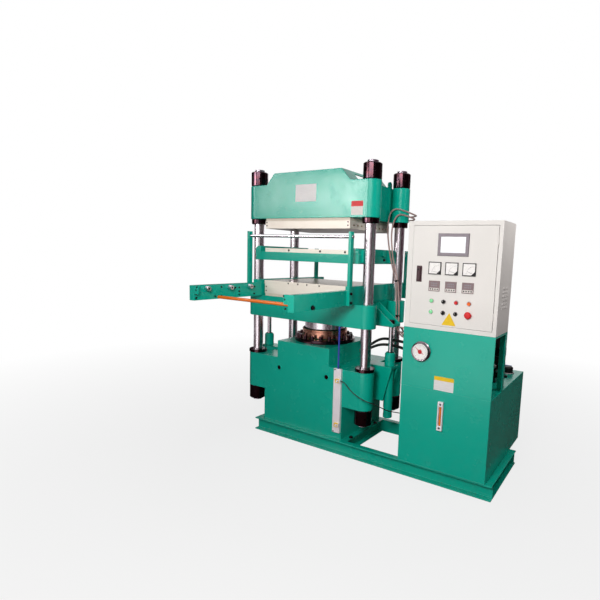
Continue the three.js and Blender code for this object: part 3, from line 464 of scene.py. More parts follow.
@dataclass(frozen=True)
class SightGlass(Finish):
    """Glass tube of the level gauge with amber oil standing in it."""

    oil: str = "#f0801c"
    level: float = 0.55

    def wire(self, recipe: Recipe) -> None:
        """Colour the tube by height: clear glass over oil.

        Args:
            recipe: The finish's nodes.
        """
        filled = recipe.ranged(recipe.height(), self.level - 0.002, self.level + 0.002)
        swirl = recipe.ranged(recipe.noise(40, 3), 0.3, 0.7)
        oil = recipe.blend(swirl, linear(self.oil, 0.8), linear(self.oil, 1.1))
        recipe.feed("Base Color", recipe.blend(filled, oil, linear(self.colour)))
        recipe.plain(Roughness=self.roughness, Coat_Weight=1.0, Coat_Roughness=0.03)


class Look(Enum):
    """Finishes of this press."""

    GREEN = Enamel("green_enamel", "green_paint", "#03ae97", 0.24)
    GREEN_EDGE = Enamel("green_enamel_edge", "green_paint", "#0ab09a", 0.4, chips=True, gloss=0.0)
    WELD = Enamel("green_enamel_weld", "green_paint", "#04a08b", 0.55, gloss=0.0)
    CREAM = PowderCoat("cream_powder_coat", "cream_paint", "#ece8e4", 0.42)
    CREAM_EDGE = PowderCoat("cream_powder_coat_edge", "cream_paint", "#f0edea", 0.42)
    CHROME = Metal(
        "plated_chrome", "hard_chrome", "#e4dce4", 0.24, (1, 1, 0.06), 160, "#8e7484", 0.25, 0.000002,
        contrast=0.04
    )
    BLACKENED = Oxide("oiled_black_steel", "blackened_steel", "#3a2b33", 0.08, "#4a2c30")
    BURNISHED = Oxide("burnished_steel", "blackened_steel", "#c9947f", 0.2, "#a56c5a")
    MOTOR = Enamel("motor_enamel", "motor_paint", "#3c4a52", 0.42, gloss=0.15)
    # The platen steel comes in lit and shaded copies; this pale one, on fronts and sides, is the lit copy.
    PLATEN = Metal(
        "ground_platen", "ground_plate", "#efe6da", 0.5, (0.05, 1, 1), 260, "#b08c7a", 0.18, metallic=0.12,
        contrast=0.03
    )
    # Darker copy of the same steel for top faces: painted shade.
    PLATEN_TOP_SHADE = Metal(
        "ground_platen_top_painted_shade", "ground_plate", "#ab9b8e", 0.3, (0.05, 1, 1), 260, "#8a7a70", 0.15,
        metallic=0.5, contrast=0.03
    )
    # Dark brown copy of the platen steel, laid on the upper platen's downward faces as painted shade.
    PLATEN_UNDERSIDE_SHADE = Metal(
        "platen_underside_painted_shade", "ground_plate", "#6e4f45", 0.4, (0.05, 1, 1), 260, "#40302c", 0.3,
        metallic=0.7
    )
    BOARD = Board("insulation_board", "ground_plate", "#e9dccb", 0.8)
    ORANGE = Enamel("orange_enamel", "orange_paint", "#f07414", 0.36)
    BLUE = Enamel("blue_enamel", "blue_bar", "#2a3aa8", 0.4)
    ALUMINIUM = Metal(
        "anodised_profile", "profile_aluminium", "#f2eaf0", 0.45, (1, 1, 0.05), 200, "#d8ccd2", 0.2,
        metallic=0.1
    )
    RIM = Metal("gauge_rim", "gauge_body", "#8a7c86", 0.2, (1, 1, 1), 300)
    DIAL = Moulded("dial_face", "gauge_body", "#f6f2f0", 0.35, 0.00001, clear=0.6)
    NEEDLE = Moulded("red_needle", "gauge_body", "#c4202a", 0.3, 0.00001)
    # Dark ink for printed marks, also laid as painted shade inside holes and louvre slots.
    INK_AND_SHADE = Moulded("printed_ink_and_painted_shade", "gauge_body", "#2a2628", 0.5, 0.00001)
    ZINC = Metal("zinc_plated", "zinc_plate", "#b9b2b4", 0.36, (1, 1, 1), 260, "#8f8878", 0.3)
    BRASS = Metal("brass", "zinc_plate", "#c7a35c", 0.28, (1, 1, 1), 200, "#8c6a34", 0.3)
    BEZEL = Moulded("bezel_frame", "screen_bezel", "#8f868d", 0.45, 0.00002)
    SCREEN = Moulded("screen_glass", "screen_bezel", "#f1f3f6", 0.12, 0.0, 0.25, 1.0)
    BLACK = Moulded("moulded_black", "black_plastic", "#1d1a1c", 0.42)
    BROWN = Moulded("controller_face", "black_plastic", "#8a7678", 0.4)
    PALE = Moulded("pale_plastic", "screen_bezel", "#e2dbd6", 0.4)
    RED = Moulded("moulded_red", "red_plastic", "#d8262a", 0.42)
    ORANGE_CAP = Moulded("moulded_orange", "orange_plastic", "#f06a1e", 0.42)
    GREEN_LENS = Moulded("green_lens", "green_paint", "#7fdc9a", 0.2, glow=0.15, clear=0.7)
    YELLOW = Moulded("yellow_plastic", "orange_plastic", "#f0c61a", 0.5)
    BLUE_CAP = Moulded("blue_plastic", "blue_bar", "#3a6cc0", 0.3)
    PLATE = Metal("bare_plate", "zinc_plate", "#e6e2e2", 0.5, (0.1, 1, 1), 240, "#d0cac8", 0.2, metallic=0.0)
    GLASS = SightGlass("sight_glass", "level_gauge", "#f4e6d6", 0.1)
    CONDUIT = Sleeving("ribbed_sleeve", "conduit_sleeve", "#dcb9b4", 0.4, 150, 0.0008, metallic=0.3)
    HOSE = Sleeving("hose_rubber", "black_rubber", "#1b1718", 0.5, 90, 0.0004, True)
    CABLE = Sleeving("cable_jacket", "black_rubber", "#0d1513", 0.45, 5, 0.00005)
    CARD = Moulded("studio_card", "", "#8f6a78", 0.9)
    FLOOR_CARD = Moulded("floor_card", "", "#5e3f40", 0.9)
    HANDLE = Moulded("handle_plastic", "black_plastic", "#4a3137", 0.45)
    RUBBER = Moulded("seal_rubber", "black_rubber", "#171416", 0.6)


def release() -> None:
    """Leave nothing selected, so that the next operator acts on its own piece alone."""
    bpy.ops.object.select_all(action="DESELECT")


def take(*things: bpy.types.Object) -> None:
    """Select some objects alone, the first of them as the active one.

    Args:
        things: The objects.
    """
    release()
    for thing in things:
        thing.select_set(True)
    bpy.context.view_layer.objects.active = things[0]


def turn_to(direction: Vector) -> Matrix:
    """Turn that leads the Z axis to a direction."""
    return UP.rotation_difference(direction).to_matrix().to_4x4()


class Workpiece:
    """A mesh on the bench, shaped with the modelling operators."""

    def __init__(self, thing: bpy.types.Object, middle_line: Sequence[Vector] = ()) -> None:
        """Take an object whose place is already in its mesh, and a tube's middle line."""
        self.thing = thing
        self.middle_line = middle_line

    @classmethod
    def fresh(cls) -> "Workpiece":
        """The primitive that was just added, with its place put into its mesh."""
        bpy.ops.object.transform_apply(location=True, rotation=True, scale=True)
        return cls(bpy.context.active_object)

    @classmethod
    def block(cls, extent: Extent) -> "Workpiece":
        """Block to shape that fills an upright box.

        Args:
            extent: The box.

        Returns:
            The block.
        """
        release()
        bpy.ops.mesh.primitive_cube_add(size=1, location=extent.centre, scale=extent.size)
        return cls.fresh()

    @classmethod
    def cuboid(cls, low: Sequence[float], high: Sequence[float]) -> "Workpiece":
        """Block between its lowest and its highest corner."""
        return cls.block(Extent(Vector(low), Vector(high)))

    @classmethod
    def turned(
        cls, profile: Profile, foot: Vector, direction: Vector = UP, sides: int = 64, ring: bool = False
    ) -> "Workpiece":
        """Turn a round or many-sided piece by its profile.

        Args:
            profile: Radius and height of each step, from the foot on. A step back down makes a bore.
            foot: Point that the heights are measured from.
            direction: Way that the heights run.
            sides: Sides of its circles.
            ring: Whether the profile closes on itself and leaves a hole through the middle.

        Returns:
            The turned piece.
        """
        release()
        bpy.context.tool_settings.mesh_select_mode = (True, False, False)
        filled = "NOTHING" if ring else "NGON"
        radius, height = profile[0]
        bpy.ops.mesh.primitive_circle_add(
            vertices=sides, radius=radius, fill_type=filled, location=(0, 0, height)
        )
        piece = cls.fresh()
        stops = [*profile, profile[0]] if ring else profile
        bpy.ops.object.mode_set(mode="EDIT")
        bpy.ops.mesh.select_all(action="SELECT")
        for (radius, height), (next_radius, next_height) in pairwise(stops):
            rise = {"value": (0, 0, next_height - height)}
            bpy.ops.mesh.extrude_region_move(TRANSFORM_OT_translate=rise)
            if next_radius != radius:
                share = next_radius / radius
                bpy.ops.transform.resize(value=(share, share, 1), center_override=(0, 0, next_height))
        bpy.ops.mesh.select_all(action="SELECT")
        if ring:
            bpy.ops.mesh.remove_doubles(threshold=1e-6)
        bpy.ops.mesh.normals_make_consistent(inside=False)
        bpy.ops.object.mode_set(mode="OBJECT")
        return piece.stood(foot, direction)

    @classmethod
    def rod(
        cls, start: Vector, end: Vector, radius: float, sides: int = 48, chamfer: float = 0.0015
    ) -> "Workpiece":
        """Round bar between two points with a chamfer at both ends.

        Args:
            start: Middle of its first end.
            end: Middle of its other end.
            radius: Its radius.
            sides: Sides of its circles.
            chamfer: Width of the chamfers.

        Returns:
            The bar.
        """
        length = (end - start).length
        profile = (
            (radius - chamfer, 0), (radius, chamfer), (radius, length - chamfer), (radius - chamfer, length)
        )
        return cls.turned(profile, start, (end - start).normalized(), sides)

    @classmethod
    def copied(cls, node: str) -> "Workpiece":
        """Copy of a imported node's mesh, merged to whole faces, as the start of its dressed piece.

        Args:
            node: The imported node.

        Returns:
            The copy.
        """
        source = bpy.data.objects[node]
        mesh = source.data.copy()
        mesh.transform(source.matrix_world)
        mesh.materials.clear()
        thing = bpy.data.objects.new(node, mesh)
        bpy.context.scene.collection.objects.link(thing)
        take(thing)
        if mesh.has_custom_normals:
            bpy.ops.mesh.customdata_custom_splitnormals_clear()
        bpy.ops.object.mode_set(mode="EDIT")
        bpy.ops.mesh.select_all(action="SELECT")
        bpy.ops.mesh.remove_doubles(threshold=1e-5)
        bpy.ops.object.mode_set(mode="OBJECT")
        return cls(thing)

    @classmethod
    def enamelled(cls, node: str, edge: float = 0.0025) -> "Workpiece":
        """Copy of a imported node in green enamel, with its edges rounded and worn."""
        return cls.copied(node).finished(Look.GREEN, Look.GREEN_EDGE).eased(edge, clamped=False)

    @classmethod
    def tube(
        cls, route: Sequence[Vector], radius: float, sides: int = 6, closed: bool = False, ripple: float = 0.0
    ) -> "Workpiece":
        """Solid tube along a route, such as a cord, a pipe or a weld bead.

        Args:
            route: Points of its middle line.
            radius: Its radius.
            sides: Half the number of its sides.
            closed: Whether it runs back into its start.
            ripple: Share by which every second point is thinner.

        Returns:
            The tube as a mesh, with its length in metres along the U of its UV map.
        """
        release()
        curve = bpy.data.curves.new("tube", "CURVE")
        curve.dimensions = "3D"
        curve.bevel_resolution = sides // 2
        curve.resolution_u = 5
        curve.use_fill_caps = not closed
        kind = "POLY" if ripple else "BEZIER"
        spline = curve.splines.new(kind)
        points = spline.points if ripple else spline.bezier_points
        points.add(len(route) - 1)
        for index, (point, place) in enumerate(zip(points, route)):
            point.co = (*place, 1) if ripple else place
            point.radius = 1 - ripple * (index % 2)
            if not ripple:
                point.handle_left_type = point.handle_right_type = "AUTO"
        spline.use_cyclic_u = closed
        spline.use_smooth = True
        thing = bpy.data.objects.new("tube", curve)
        bpy.context.scene.collection.objects.link(thing)
        middle_line = [vertex.co.copy() for vertex in thing.to_mesh().vertices]
        thing.to_mesh_clear()
        curve.bevel_depth = radius
        take(thing)
        length = sum((b - a).length for a, b in pairwise(middle_line))
        bpy.ops.object.convert(target="MESH")
        thing = bpy.context.active_object
        for corner in thing.data.uv_layers[0].data:
            corner.uv.x *= length
        return cls(thing, middle_line)

    def moved(self, matrix: Matrix) -> "Workpiece":
        """Move, turn or scale the mesh itself.

        Args:
            matrix: The move.

        Returns:
            This piece.
        """
        self.thing.data.transform(matrix)
        self.thing.data.update()
        return self

    def stood(self, foot: Vector, direction: Vector) -> "Workpiece":
        """Take the piece from the origin to a point and turn it to a direction."""
        return self.moved(Matrix.Translation(foot) @ turn_to(direction))

    def pick(self, test: Test) -> int:
        """Select the faces whose middle and outward way pass a test, and count them.

        Args:
            test: The test.

        Returns:
            How many faces passed.
        """
        mesh = self.thing.data
        for part in (*mesh.vertices, *mesh.edges):
            part.select = False
        for face in mesh.polygons:
            face.select = test(face.center, face.normal)
        bpy.context.tool_settings.mesh_select_mode = (False, False, True)
        return sum(face.select for face in mesh.polygons)

    def sunk(self, test: Test, margin: float, depth: float) -> "Workpiece":
        """Set some faces back behind a rim, or forward where the depth is below zero.

        Args:
            test: Which faces.
            margin: Width of the rim that stays.
            depth: How deep the field lies behind it.

        Returns:
            This piece.
        """
        if self.pick(test):
            take(self.thing)
            bpy.ops.object.mode_set(mode="EDIT")
            bpy.ops.mesh.inset(thickness=margin)
            bpy.ops.mesh.extrude_region_shrink_fatten(TRANSFORM_OT_shrink_fatten={"value": -depth})
            bpy.ops.object.mode_set(mode="OBJECT")
        return self

    def tapered(self, test: Test, share: Sequence[float], about: Vector) -> "Workpiece":
        """Scale some faces about a point by a share along each axis.

        Args:
            test: Which faces.
            share: The shares.
            about: The point.

        Returns:
            This piece.
        """
        if self.pick(test):
            take(self.thing)
            bpy.ops.object.mode_set(mode="EDIT")
            bpy.ops.transform.resize(value=share, center_override=about)
            bpy.ops.object.mode_set(mode="OBJECT")
        return self

    def modified(self, kind: str, **settings: object) -> "Workpiece":
        """Add a modifier with its settings and apply it.

        Args:
            kind: Its type.
            settings: Its settings.

        Returns:
            This piece.
        """
        take(self.thing)
        modifier = self.thing.modifiers.new(kind.title(), kind)
        for name, value in settings.items():
            setattr(modifier, name, value)
        bpy.ops.object.modifier_apply(modifier=modifier.name)
        return self

    def eased(
        self, width: float = 0.002, segments: int = 2, angle: float = 30, clamped: bool = True
    ) -> "Workpiece":
        """Round the sharp edges and shade the piece smooth between them.

        Args:
            width: How far the rounding reaches from the edge.
            segments: Steps of the rounding.
            angle: Least turn in degrees that counts as an edge.
            clamped: Whether the rounding stops where two of them would meet.

        Returns:
            This piece.
        """
        worn = 1 if len(self.thing.data.materials) > 1 else -1
        self.modified(
            "BEVEL",
            width=width,
            segments=segments,
            limit_method="ANGLE",
            angle_limit=math.radians(angle),
            use_clamp_overlap=clamped,
            loop_slide=False,
            material=worn,
        )
        return self.smooth()

    def smooth(self, angle: float = 32) -> "Workpiece":
        """Shade smooth over flat turns, with the large faces leading.

        Args:
            angle: Least turn in degrees that stays sharp.

        Returns:
            This piece.
        """
        take(self.thing)
        bpy.ops.object.shade_smooth_by_angle(angle=math.radians(angle))
        return self.modified("WEIGHTED_NORMAL", keep_sharp=True)

    def cut(self, *tools: "Workpiece") -> "Workpiece":
        """Cut other pieces out of this one, and clear them away.

        Args:
            tools: The other pieces.

        Returns:
            This piece.
        """
        for tool in tools:
            self.modified("BOOLEAN", operation="DIFFERENCE", solver="EXACT", object=tool.thing)
            bpy.data.objects.remove(tool.thing)
        return self

    def fused(self, *others: "Workpiece") -> "Workpiece":
        """Unite other pieces with this one into one skin.

        Args:
            others: The other pieces.

        Returns:
            This piece.
        """
        for other in others:
            self.modified("BOOLEAN", operation="UNION", solver="EXACT", object=other.thing)
            bpy.data.objects.remove(other.thing)
        return self

    def finished(self, look: Look, edge: Look | None = None) -> "Workpiece":
        """Give the piece its finish, and its worn edges their own.

        Args:
            look: Its finish.
            edge: Finish of its worn edges.

        Returns:
            This piece.
        """
        self.thing.data.materials.clear()
        for chosen in (look, edge):
            if chosen:
                self.thing.data.materials.append(chosen.value.material())
        self.thing["slot"] = look.value.slot
        return self

    def painted(self, look: Look, test: Test) -> "Workpiece":
        """Give some faces another finish.

        Args:
            look: The other finish.
            test: Which faces.

        Returns:
            This piece.
        """
        self.thing.data.materials.append(look.value.material())
        if self.pick(test):
            for face in self.thing.data.polygons:
                if face.select:
                    face.material_index = len(self.thing.data.materials) - 1
        return self

    def repeated(self, places: Iterable[Vector | Matrix]) -> "Workpiece":
        """Copy the piece to several places, each copy with its own mesh, and join the copies.

        Args:
            places: Where the piece's origin goes, or its full moves.

        Returns:
            The joined copies.
        """
        copies = []
        for place in places:
            move = place if isinstance(place, Matrix) else Matrix.Translation(place)
            mesh = self.thing.data.copy()
            mesh.transform(move)
            copy = bpy.data.objects.new(self.thing.name, mesh)
            copy["slot"] = self.thing.get("slot", "")
            bpy.context.scene.collection.objects.link(copy)
            copies.append(Workpiece(copy))
        bpy.data.objects.remove(self.thing)
        return together(copies)

    def joined(self, *others: "Workpiece") -> "Workpiece":
        """Join other pieces to this one.

        Args:
            others: The other pieces.

        Returns:
            This piece.
        """
        if others:
            take(self.thing, *(other.thing for other in others))
            bpy.ops.object.join()
        return self

    def mounted(self, name: str, body: str, *nodes: str) -> "Workpiece":
        """Name the finished piece, let it ride on a body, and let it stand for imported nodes.

        Args:
            name: Its name.
            body: Body that it moves with.
            nodes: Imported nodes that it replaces.

        Returns:
            This piece.
        """
        self.thing.name = name
        self.thing.data.name = name
        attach(self.thing, body)
        if nodes:
            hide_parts(*nodes)
        if self.thing.get("slot"):
            del self.thing["slot"]
        log.info("%s: %d faces on %s", name, len(self.thing.data.polygons), body)
        return self


def screw_head(radius: float, height: float, look: Look | None = None) -> Workpiece:
    """Socket head screw at the origin, facing up.

    Args:
        radius: Radius of its head.
        height: Height of its head.
        look: Its finish, blackened where none is given.

    Returns:
        The screw's head with its six-sided socket.
    """
    profile = ((radius, 0), (radius, 0.85 * height), (0.88 * radius, height))
    head = Workpiece.turned(profile, Vector(), sides=24)
    socket = ((0.5 * radius, 0.4 * height), (0.5 * radius, 1.2 * height))
    head.cut(Workpiece.turned(socket, Vector(), sides=6))
    return head.finished(look or Look.BLACKENED).smooth()


def hexagon_head(radius: float, height: float, look: Look | None = None) -> Workpiece:
    """Hexagon head screw with its washer at the origin, facing up.

    Args:
        radius: Radius of its washer.
        height: Height over the washer's foot.
        look: Its finish, zinc where none is given.

    Returns:
        The screw's head and washer.
    """
    finish = look or Look.ZINC
    profile = ((radius, 0), (radius, 0.2 * height), (0.9 * radius, 0.24 * height))
    washer = Workpiece.turned(profile, Vector(), sides=24)
    inner = 0.85 * radius
    profile = ((inner, 0.2 * height), (inner, 0.88 * height), (0.86 * inner, height))
    hexagon = Workpiece.turned(profile, Vector(), sides=6)
    return washer.finished(finish).smooth().joined(hexagon.finished(finish).eased(0.08 * radius, 1))


def round_head(radius: float, height: float, look: Look | None = None) -> Workpiece:
    """Domed screw head or rivet at the origin, facing up.

    Args:
        radius: Radius of its foot.
        height: Height of its dome.
        look: Its finish, zinc where none is given.

    Returns:
        The domed head.
    """
    arcs = [index * math.pi / 10 for index in range(5)]
    profile = [(radius * math.cos(arc), height * math.sin(arc)) for arc in arcs]
    return Workpiece.turned(profile, Vector(), sides=20).finished(look or Look.ZINC).smooth(60)


def facing(places: Iterable[Vector], direction: Vector) -> list[Matrix]:
    """Moves that take a piece from the origin to several places and turn it to a direction."""
    return [Matrix.Translation(place) @ turn_to(direction) for place in places]


def around(
    centre: Vector, radius: float, count: int, start: float = 0, across: Vector = RIGHT, along: Vector = BACK
) -> list[Vector]:
    """Points evenly on a circle, the first at an angle in degrees, in the plane of two directions."""
    angles = [math.radians(start + 360 * index / count) for index in range(count)]
    return [centre + radius * math.cos(angle) * across + radius * math.sin(angle) * along for angle in angles]


def together(pieces: Sequence[Workpiece]) -> Workpiece:
    """Several pieces, joined to the first."""
    return pieces[0].joined(*pieces[1:])


def upright_bead(x: float, y: float, low: float, high: float, radius: float) -> Workpiece:
    """Upright weld bead at a place from the ram's axis."""
    return bead([at(x, y, low), at(x, y, high)], radius)


def bead(route: Sequence[Vector], radius: float = 0.0035, closed: bool = False) -> Workpiece:
    """Weld bead along a route of straight stretches.

    Args:
        route: Corners of the seam.
        radius: Radius of the bead.
        closed: Whether the seam runs back into its start.

    Returns:
        The rippled bead, painted green.
    """
    corners = [*route, route[0]] if closed else route
    points = []
    for start, end in pairwise(corners):
        steps = max(2, 2 * round((end - start).length / 0.016))
        points += [start.lerp(end, step / steps) for step in range(steps)]
    if not closed:
        points.append(corners[-1])
    return Workpiece.tube(points, radius, sides=2, closed=closed, ripple=0.22).finished(Look.WELD)


def outline(extent: Extent, level: float) -> list[Vector]:
    """Corners of a box's plan at a height."""
    left, right, front, back = extent.low.x, extent.high.x, extent.low.y, extent.high.y
    return [Vector((x, y, level)) for x, y in ((left, front), (right, front), (right, back), (left, back))]


@dataclass(frozen=True)
class Viewpoint:
    """Camera of the photograph, fitted to the press."""

    place: Three = (1.7205, -2.8371, 1.4815)
    yaw: float = 0.558
    pitch: float = -0.1263
    roll: float = 0.036
    focal: float = 27.151
    shift: tuple[float, float] = (-0.0865, 0.0209)

    def build(self) -> None:
        """Add the camera and look through it."""
        lens = bpy.data.cameras.new("viewpoint")
        lens.lens = self.focal
        lens.sensor_width = 36
        lens.shift_x, lens.shift_y = self.shift
        run = math.cos(self.pitch)
        forward = Vector((-math.sin(self.yaw) * run, math.cos(self.yaw) * run, math.sin(self.pitch)))
        right = Vector((math.cos(self.yaw), math.sin(self.yaw), 0))
        up = right.cross(forward)
        level_right = right * math.cos(self.roll) + up * math.sin(self.roll)
        level_up = up * math.cos(self.roll) - right * math.sin(self.roll)
        camera = bpy.data.objects.new("viewpoint", lens)
        bpy.context.scene.collection.objects.link(camera)
        turn = Matrix((level_right, level_up, -forward)).transposed().to_4x4()
        camera.matrix_world = Matrix.Translation(self.place) @ turn
        bpy.context.scene.camera = camera
        log.info("viewpoint at %s", self.place)


@dataclass(frozen=True)
class Studio:
    """Pale floor, white surroundings, soft light from the front left and dark cards for the metal."""

    key_place: Three = (0.95, -2.75, 2.1)
    key_target: Three = (0.4, 0, 1.0)
    lamp_width: float = 0.8
    key_power: float = 60
    light_from: Three = (-0.3, -0.7, 0.6)
    dim: Four = (0.30, 0.20, 0.21, 1.0)
    level: float = 0.25
    cards: tuple[Four, ...] = (
        (4.9, -3.4, 4.9, 4.2),
        (3.5, -5.0, 4.8, -3.6),
        (-5.4, -4.2, 0.1, -6.4),
        (0.1, -6.4, 4.3, -4.4),
        (6.0, 5.6, 0.9, 5.6),
        (-5.4, -4.2, -5.8, 1.9),
        (-5.4, 4.8, -5.4, 2.6),
    )
    card_height: float = 4.6
    window_reach: float = 5.5
    windows: tuple[tuple[float, float, float, float, float], ...] = (
        (-142, -128, 2.1, 2.95, 12.0),
        (-128, -114, 2.1, 2.95, 26.0),
        (-104, -56, 2.9, 3.6, 12.0),
        (-106, -74, 2.1, 2.9, 4.0),
        (-110, -72, 0.0, 2.1, 1.4),
        (-132, -110, 0.0, 2.1, 0.75),
        (-72, -52, 0.0, 2.1, 0.6),
    )
    floor_glow: tuple[float, float, float, float, float] = (-1.1, -5.3, 1.1, -2.2, 2.0)
    fill_place: Three = (1.8, 0.2, 2.3)
    fill_target: Three = (0.9, 0, 1.5)
    fill_power: float = 9
    floor_width: float = 40.0
    floor_tone: float = 0.45
    floor_card: float = 10.0

    def build(self) -> None:
        """Set the colour view, and build the sky, the key light and the floor."""
        bpy.context.scene.view_settings.view_transform = "Standard"
        self.build_sky()
        self.build_lamp("key", self.key_place, self.key_power, at(*self.key_target))
        self.build_lamp("fill", self.fill_place, self.fill_power, at(*self.fill_target))
        self.build_floor()
        self.build_cards()
        self.build_windows()

    def build_sky(self) -> None:
        """Wire the surroundings: white where they are seen, and brighter on one side as a light."""
        world = bpy.data.worlds.new("studio")
        bpy.context.scene.world = world
        tree = NodeTree(world)
        tree.nodes.clear()
        aim = Vector(self.light_from).normalized()
        toward = tree.add(
            "VectorMath", {0: tree.add("TexCoord", {}, "Generated"), 1: aim}, "Value", operation="DOT_PRODUCT"
        )
        share = tree.add("MapRange", {"Value": toward, "From Min": -0.7, "From Max": 0.75}, "Result")
        colour = tree.add("Mix", {"Factor": share, 6: self.dim, 7: WHITE}, 2, data_type="RGBA")
        light = tree.add("Background", {"Color": colour, "Strength": self.level})
        white = tree.add("Background", {"Color": WHITE})
        mix = tree.add("MixShader", {"Fac": self.seen_rays(tree), 1: light, 2: white})
        tree.links.new(mix, tree.nodes.new("ShaderNodeOutputWorld").inputs["Surface"])
        log.info("sky")

    def seen_rays(self, tree: NodeTree) -> Socket:
        """Find the rays that see the surroundings straight, by a mirror or through glass.

        Args:
            tree: Nodes to add to.

        Returns:
            Socket that is 1 for them.
        """
        path = tree.nodes.new("ShaderNodeLightPath").outputs
        total = path["Is Camera Ray"]
        for name in ("Is Glossy Ray", "Is Transmission Ray"):
            total = tree.add("Math", {0: total, 1: path[name]}, "Value", operation="ADD", use_clamp=True)
        return total

    def build_lamp(self, name: str, place: Three, power: float, target: Vector) -> None:
        """Hang a soft round lamp.

        Args:
            name: What it is called.
            place: Where it hangs.
            power: Its power in watts.
            target: Point that it faces.
        """
        lamp = bpy.data.lights.new(name, "AREA")
        lamp.shape = "DISK"
        lamp.size = self.lamp_width
        lamp.energy = power
        lamp.color = (1.0, 0.985, 0.97)
        lamp_object = bpy.data.objects.new(name, lamp)
        bpy.context.scene.collection.objects.link(lamp_object)
        lamp_object.visible_camera = lamp_object.visible_glossy = False
        turn = (target - Vector(place)).to_track_quat("-Z", "Y").to_matrix().to_4x4()
        lamp_object.matrix_world = Matrix.Translation(place) @ turn
        log.info("%s light", name)

    def build_sheet(self, name: str, place: Matrix, material: bpy.types.Material, seen: bool = False) -> None:
        """Spread a flat sheet of the studio.

        Args:
            name: Its name.
            place: Move that takes a square of one metre to it.
            material: What it is made of.
            seen: Whether it shows by itself, and not in gloss and metal alone.
        """
        release()
        bpy.ops.mesh.primitive_plane_add(size=1)
        sheet = bpy.context.active_object
        sheet.name = name
        sheet.data.transform(place)
        sheet.data.materials.append(material)
        sheet.visible_camera = sheet.visible_diffuse = sheet.visible_shadow = seen

    def build_floor(self) -> None:
        """Lay a wide pale floor that keeps the press's shadow."""
        material = bpy.data.materials.new("pale_floor")
        tree = NodeTree(material)
        shader = tree.nodes["Principled BSDF"]
        shader.inputs["Base Color"].default_value = (self.floor_tone, self.floor_tone, self.floor_tone, 1)
        shader.inputs["Roughness"].default_value = 0.9
        shader.inputs["Specular IOR Level"].default_value = 0.0
        place = tree.add("TexCoord", {}, "Object")
        reach = tree.add("VectorMath", {0: place}, "Value", operation="LENGTH")
        inputs = {"Value": reach, "From Min": 1.2, "From Max": 5.0, "To Min": 0.8, "To Max": 1.0}
        fade = tree.add("MapRange", inputs, "Result")
        share = tree.add("Math", {0: self.seen_rays(tree), 1: fade}, "Value", operation="MULTIPLY")
        white = tree.add("Emission", {"Color": WHITE})
        tree.surface(tree.add("MixShader", {"Fac": share, 1: shader.outputs["BSDF"], 2: white}))
        self.build_sheet("floor", Matrix.Scale(self.floor_width, 4), material, seen=True)
        log.info("floor")

    def upright(self, run: Four, low: float, high: float) -> Matrix:
        """Work out the move that stands a sheet upright outside the view.

        Args:
            run: The sheet's two ends on the floor's plan.
            low: Height of its foot.
            high: Height of its top.

        Returns:
            The move.
        """
        x, y, end_x, end_y = run
        along = Vector((end_x - x, end_y - y, 0))
        middle = Vector((x, y, 0)) + along / 2 + UP * (low + high) / 2
        side = along.normalized()
        axes = Matrix((side, UP, side.cross(UP))).transposed().to_4x4()
        return Matrix.Translation(middle) @ axes @ Matrix.Diagonal((along.length, high - low, 1, 1))

    def build_cards(self) -> None:
        """Stand dark cards round the press for metal to show, and lay one under it for low enamel."""
        for run in self.cards:
            place = self.upright(run, 0.0, self.card_height)
            self.build_sheet("dark_card", place, Look.CARD.value.material())
        place = Matrix.Translation((0.1, 0.3, 0.001)) @ Matrix.Scale(self.floor_card, 4)
        self.build_sheet("floor_card", place, Look.FLOOR_CARD.value.material())
        log.info("%d dark cards", len(self.cards) + 1)

    def build_windows(self) -> None:
        """Hang the bright sheets that gloss and metal show as windows in front of the press."""
        for start, end, low, high, level in self.windows:
            turns = [Matrix.Rotation(math.radians(turn), 3, "Z") for turn in (start, end)]
            left, right = (turn @ Vector((self.window_reach, 0, 0)) for turn in turns)
            run = (left.x + 0.1, left.y, right.x + 0.1, right.y)
            self.build_sheet("window_card", self.upright(run, low, high), self.glow(level))
        x, y, end_x, end_y, level = self.floor_glow
        middle = Matrix.Translation(((x + end_x) / 2, (y + end_y) / 2, 0.002))
        place = middle @ Matrix.Diagonal((end_x - x, end_y - y, 1, 1))
        self.build_sheet("floor_glow", place, self.glow(level))
        log.info("%d windows", len(self.windows) + 1)

    def glow(self, level: float) -> bpy.types.Material:
        """Make the even light of a window.

        Args:
            level: Its strength.

        Returns:
            Its material.
        """
        material = bpy.data.materials.new("window_glow")
        tree = NodeTree(material)
        tree.surface(tree.add("Emission", {"Color": (1.0, 0.97, 0.95, 1), "Strength": level}))
        return material


def placed(millimetres: Sequence[float]) -> Vector:
    """Point of a cord's route, which is written in millimetres from the ram's axis."""
    return at(*(value / 1000 for value in millimetres))


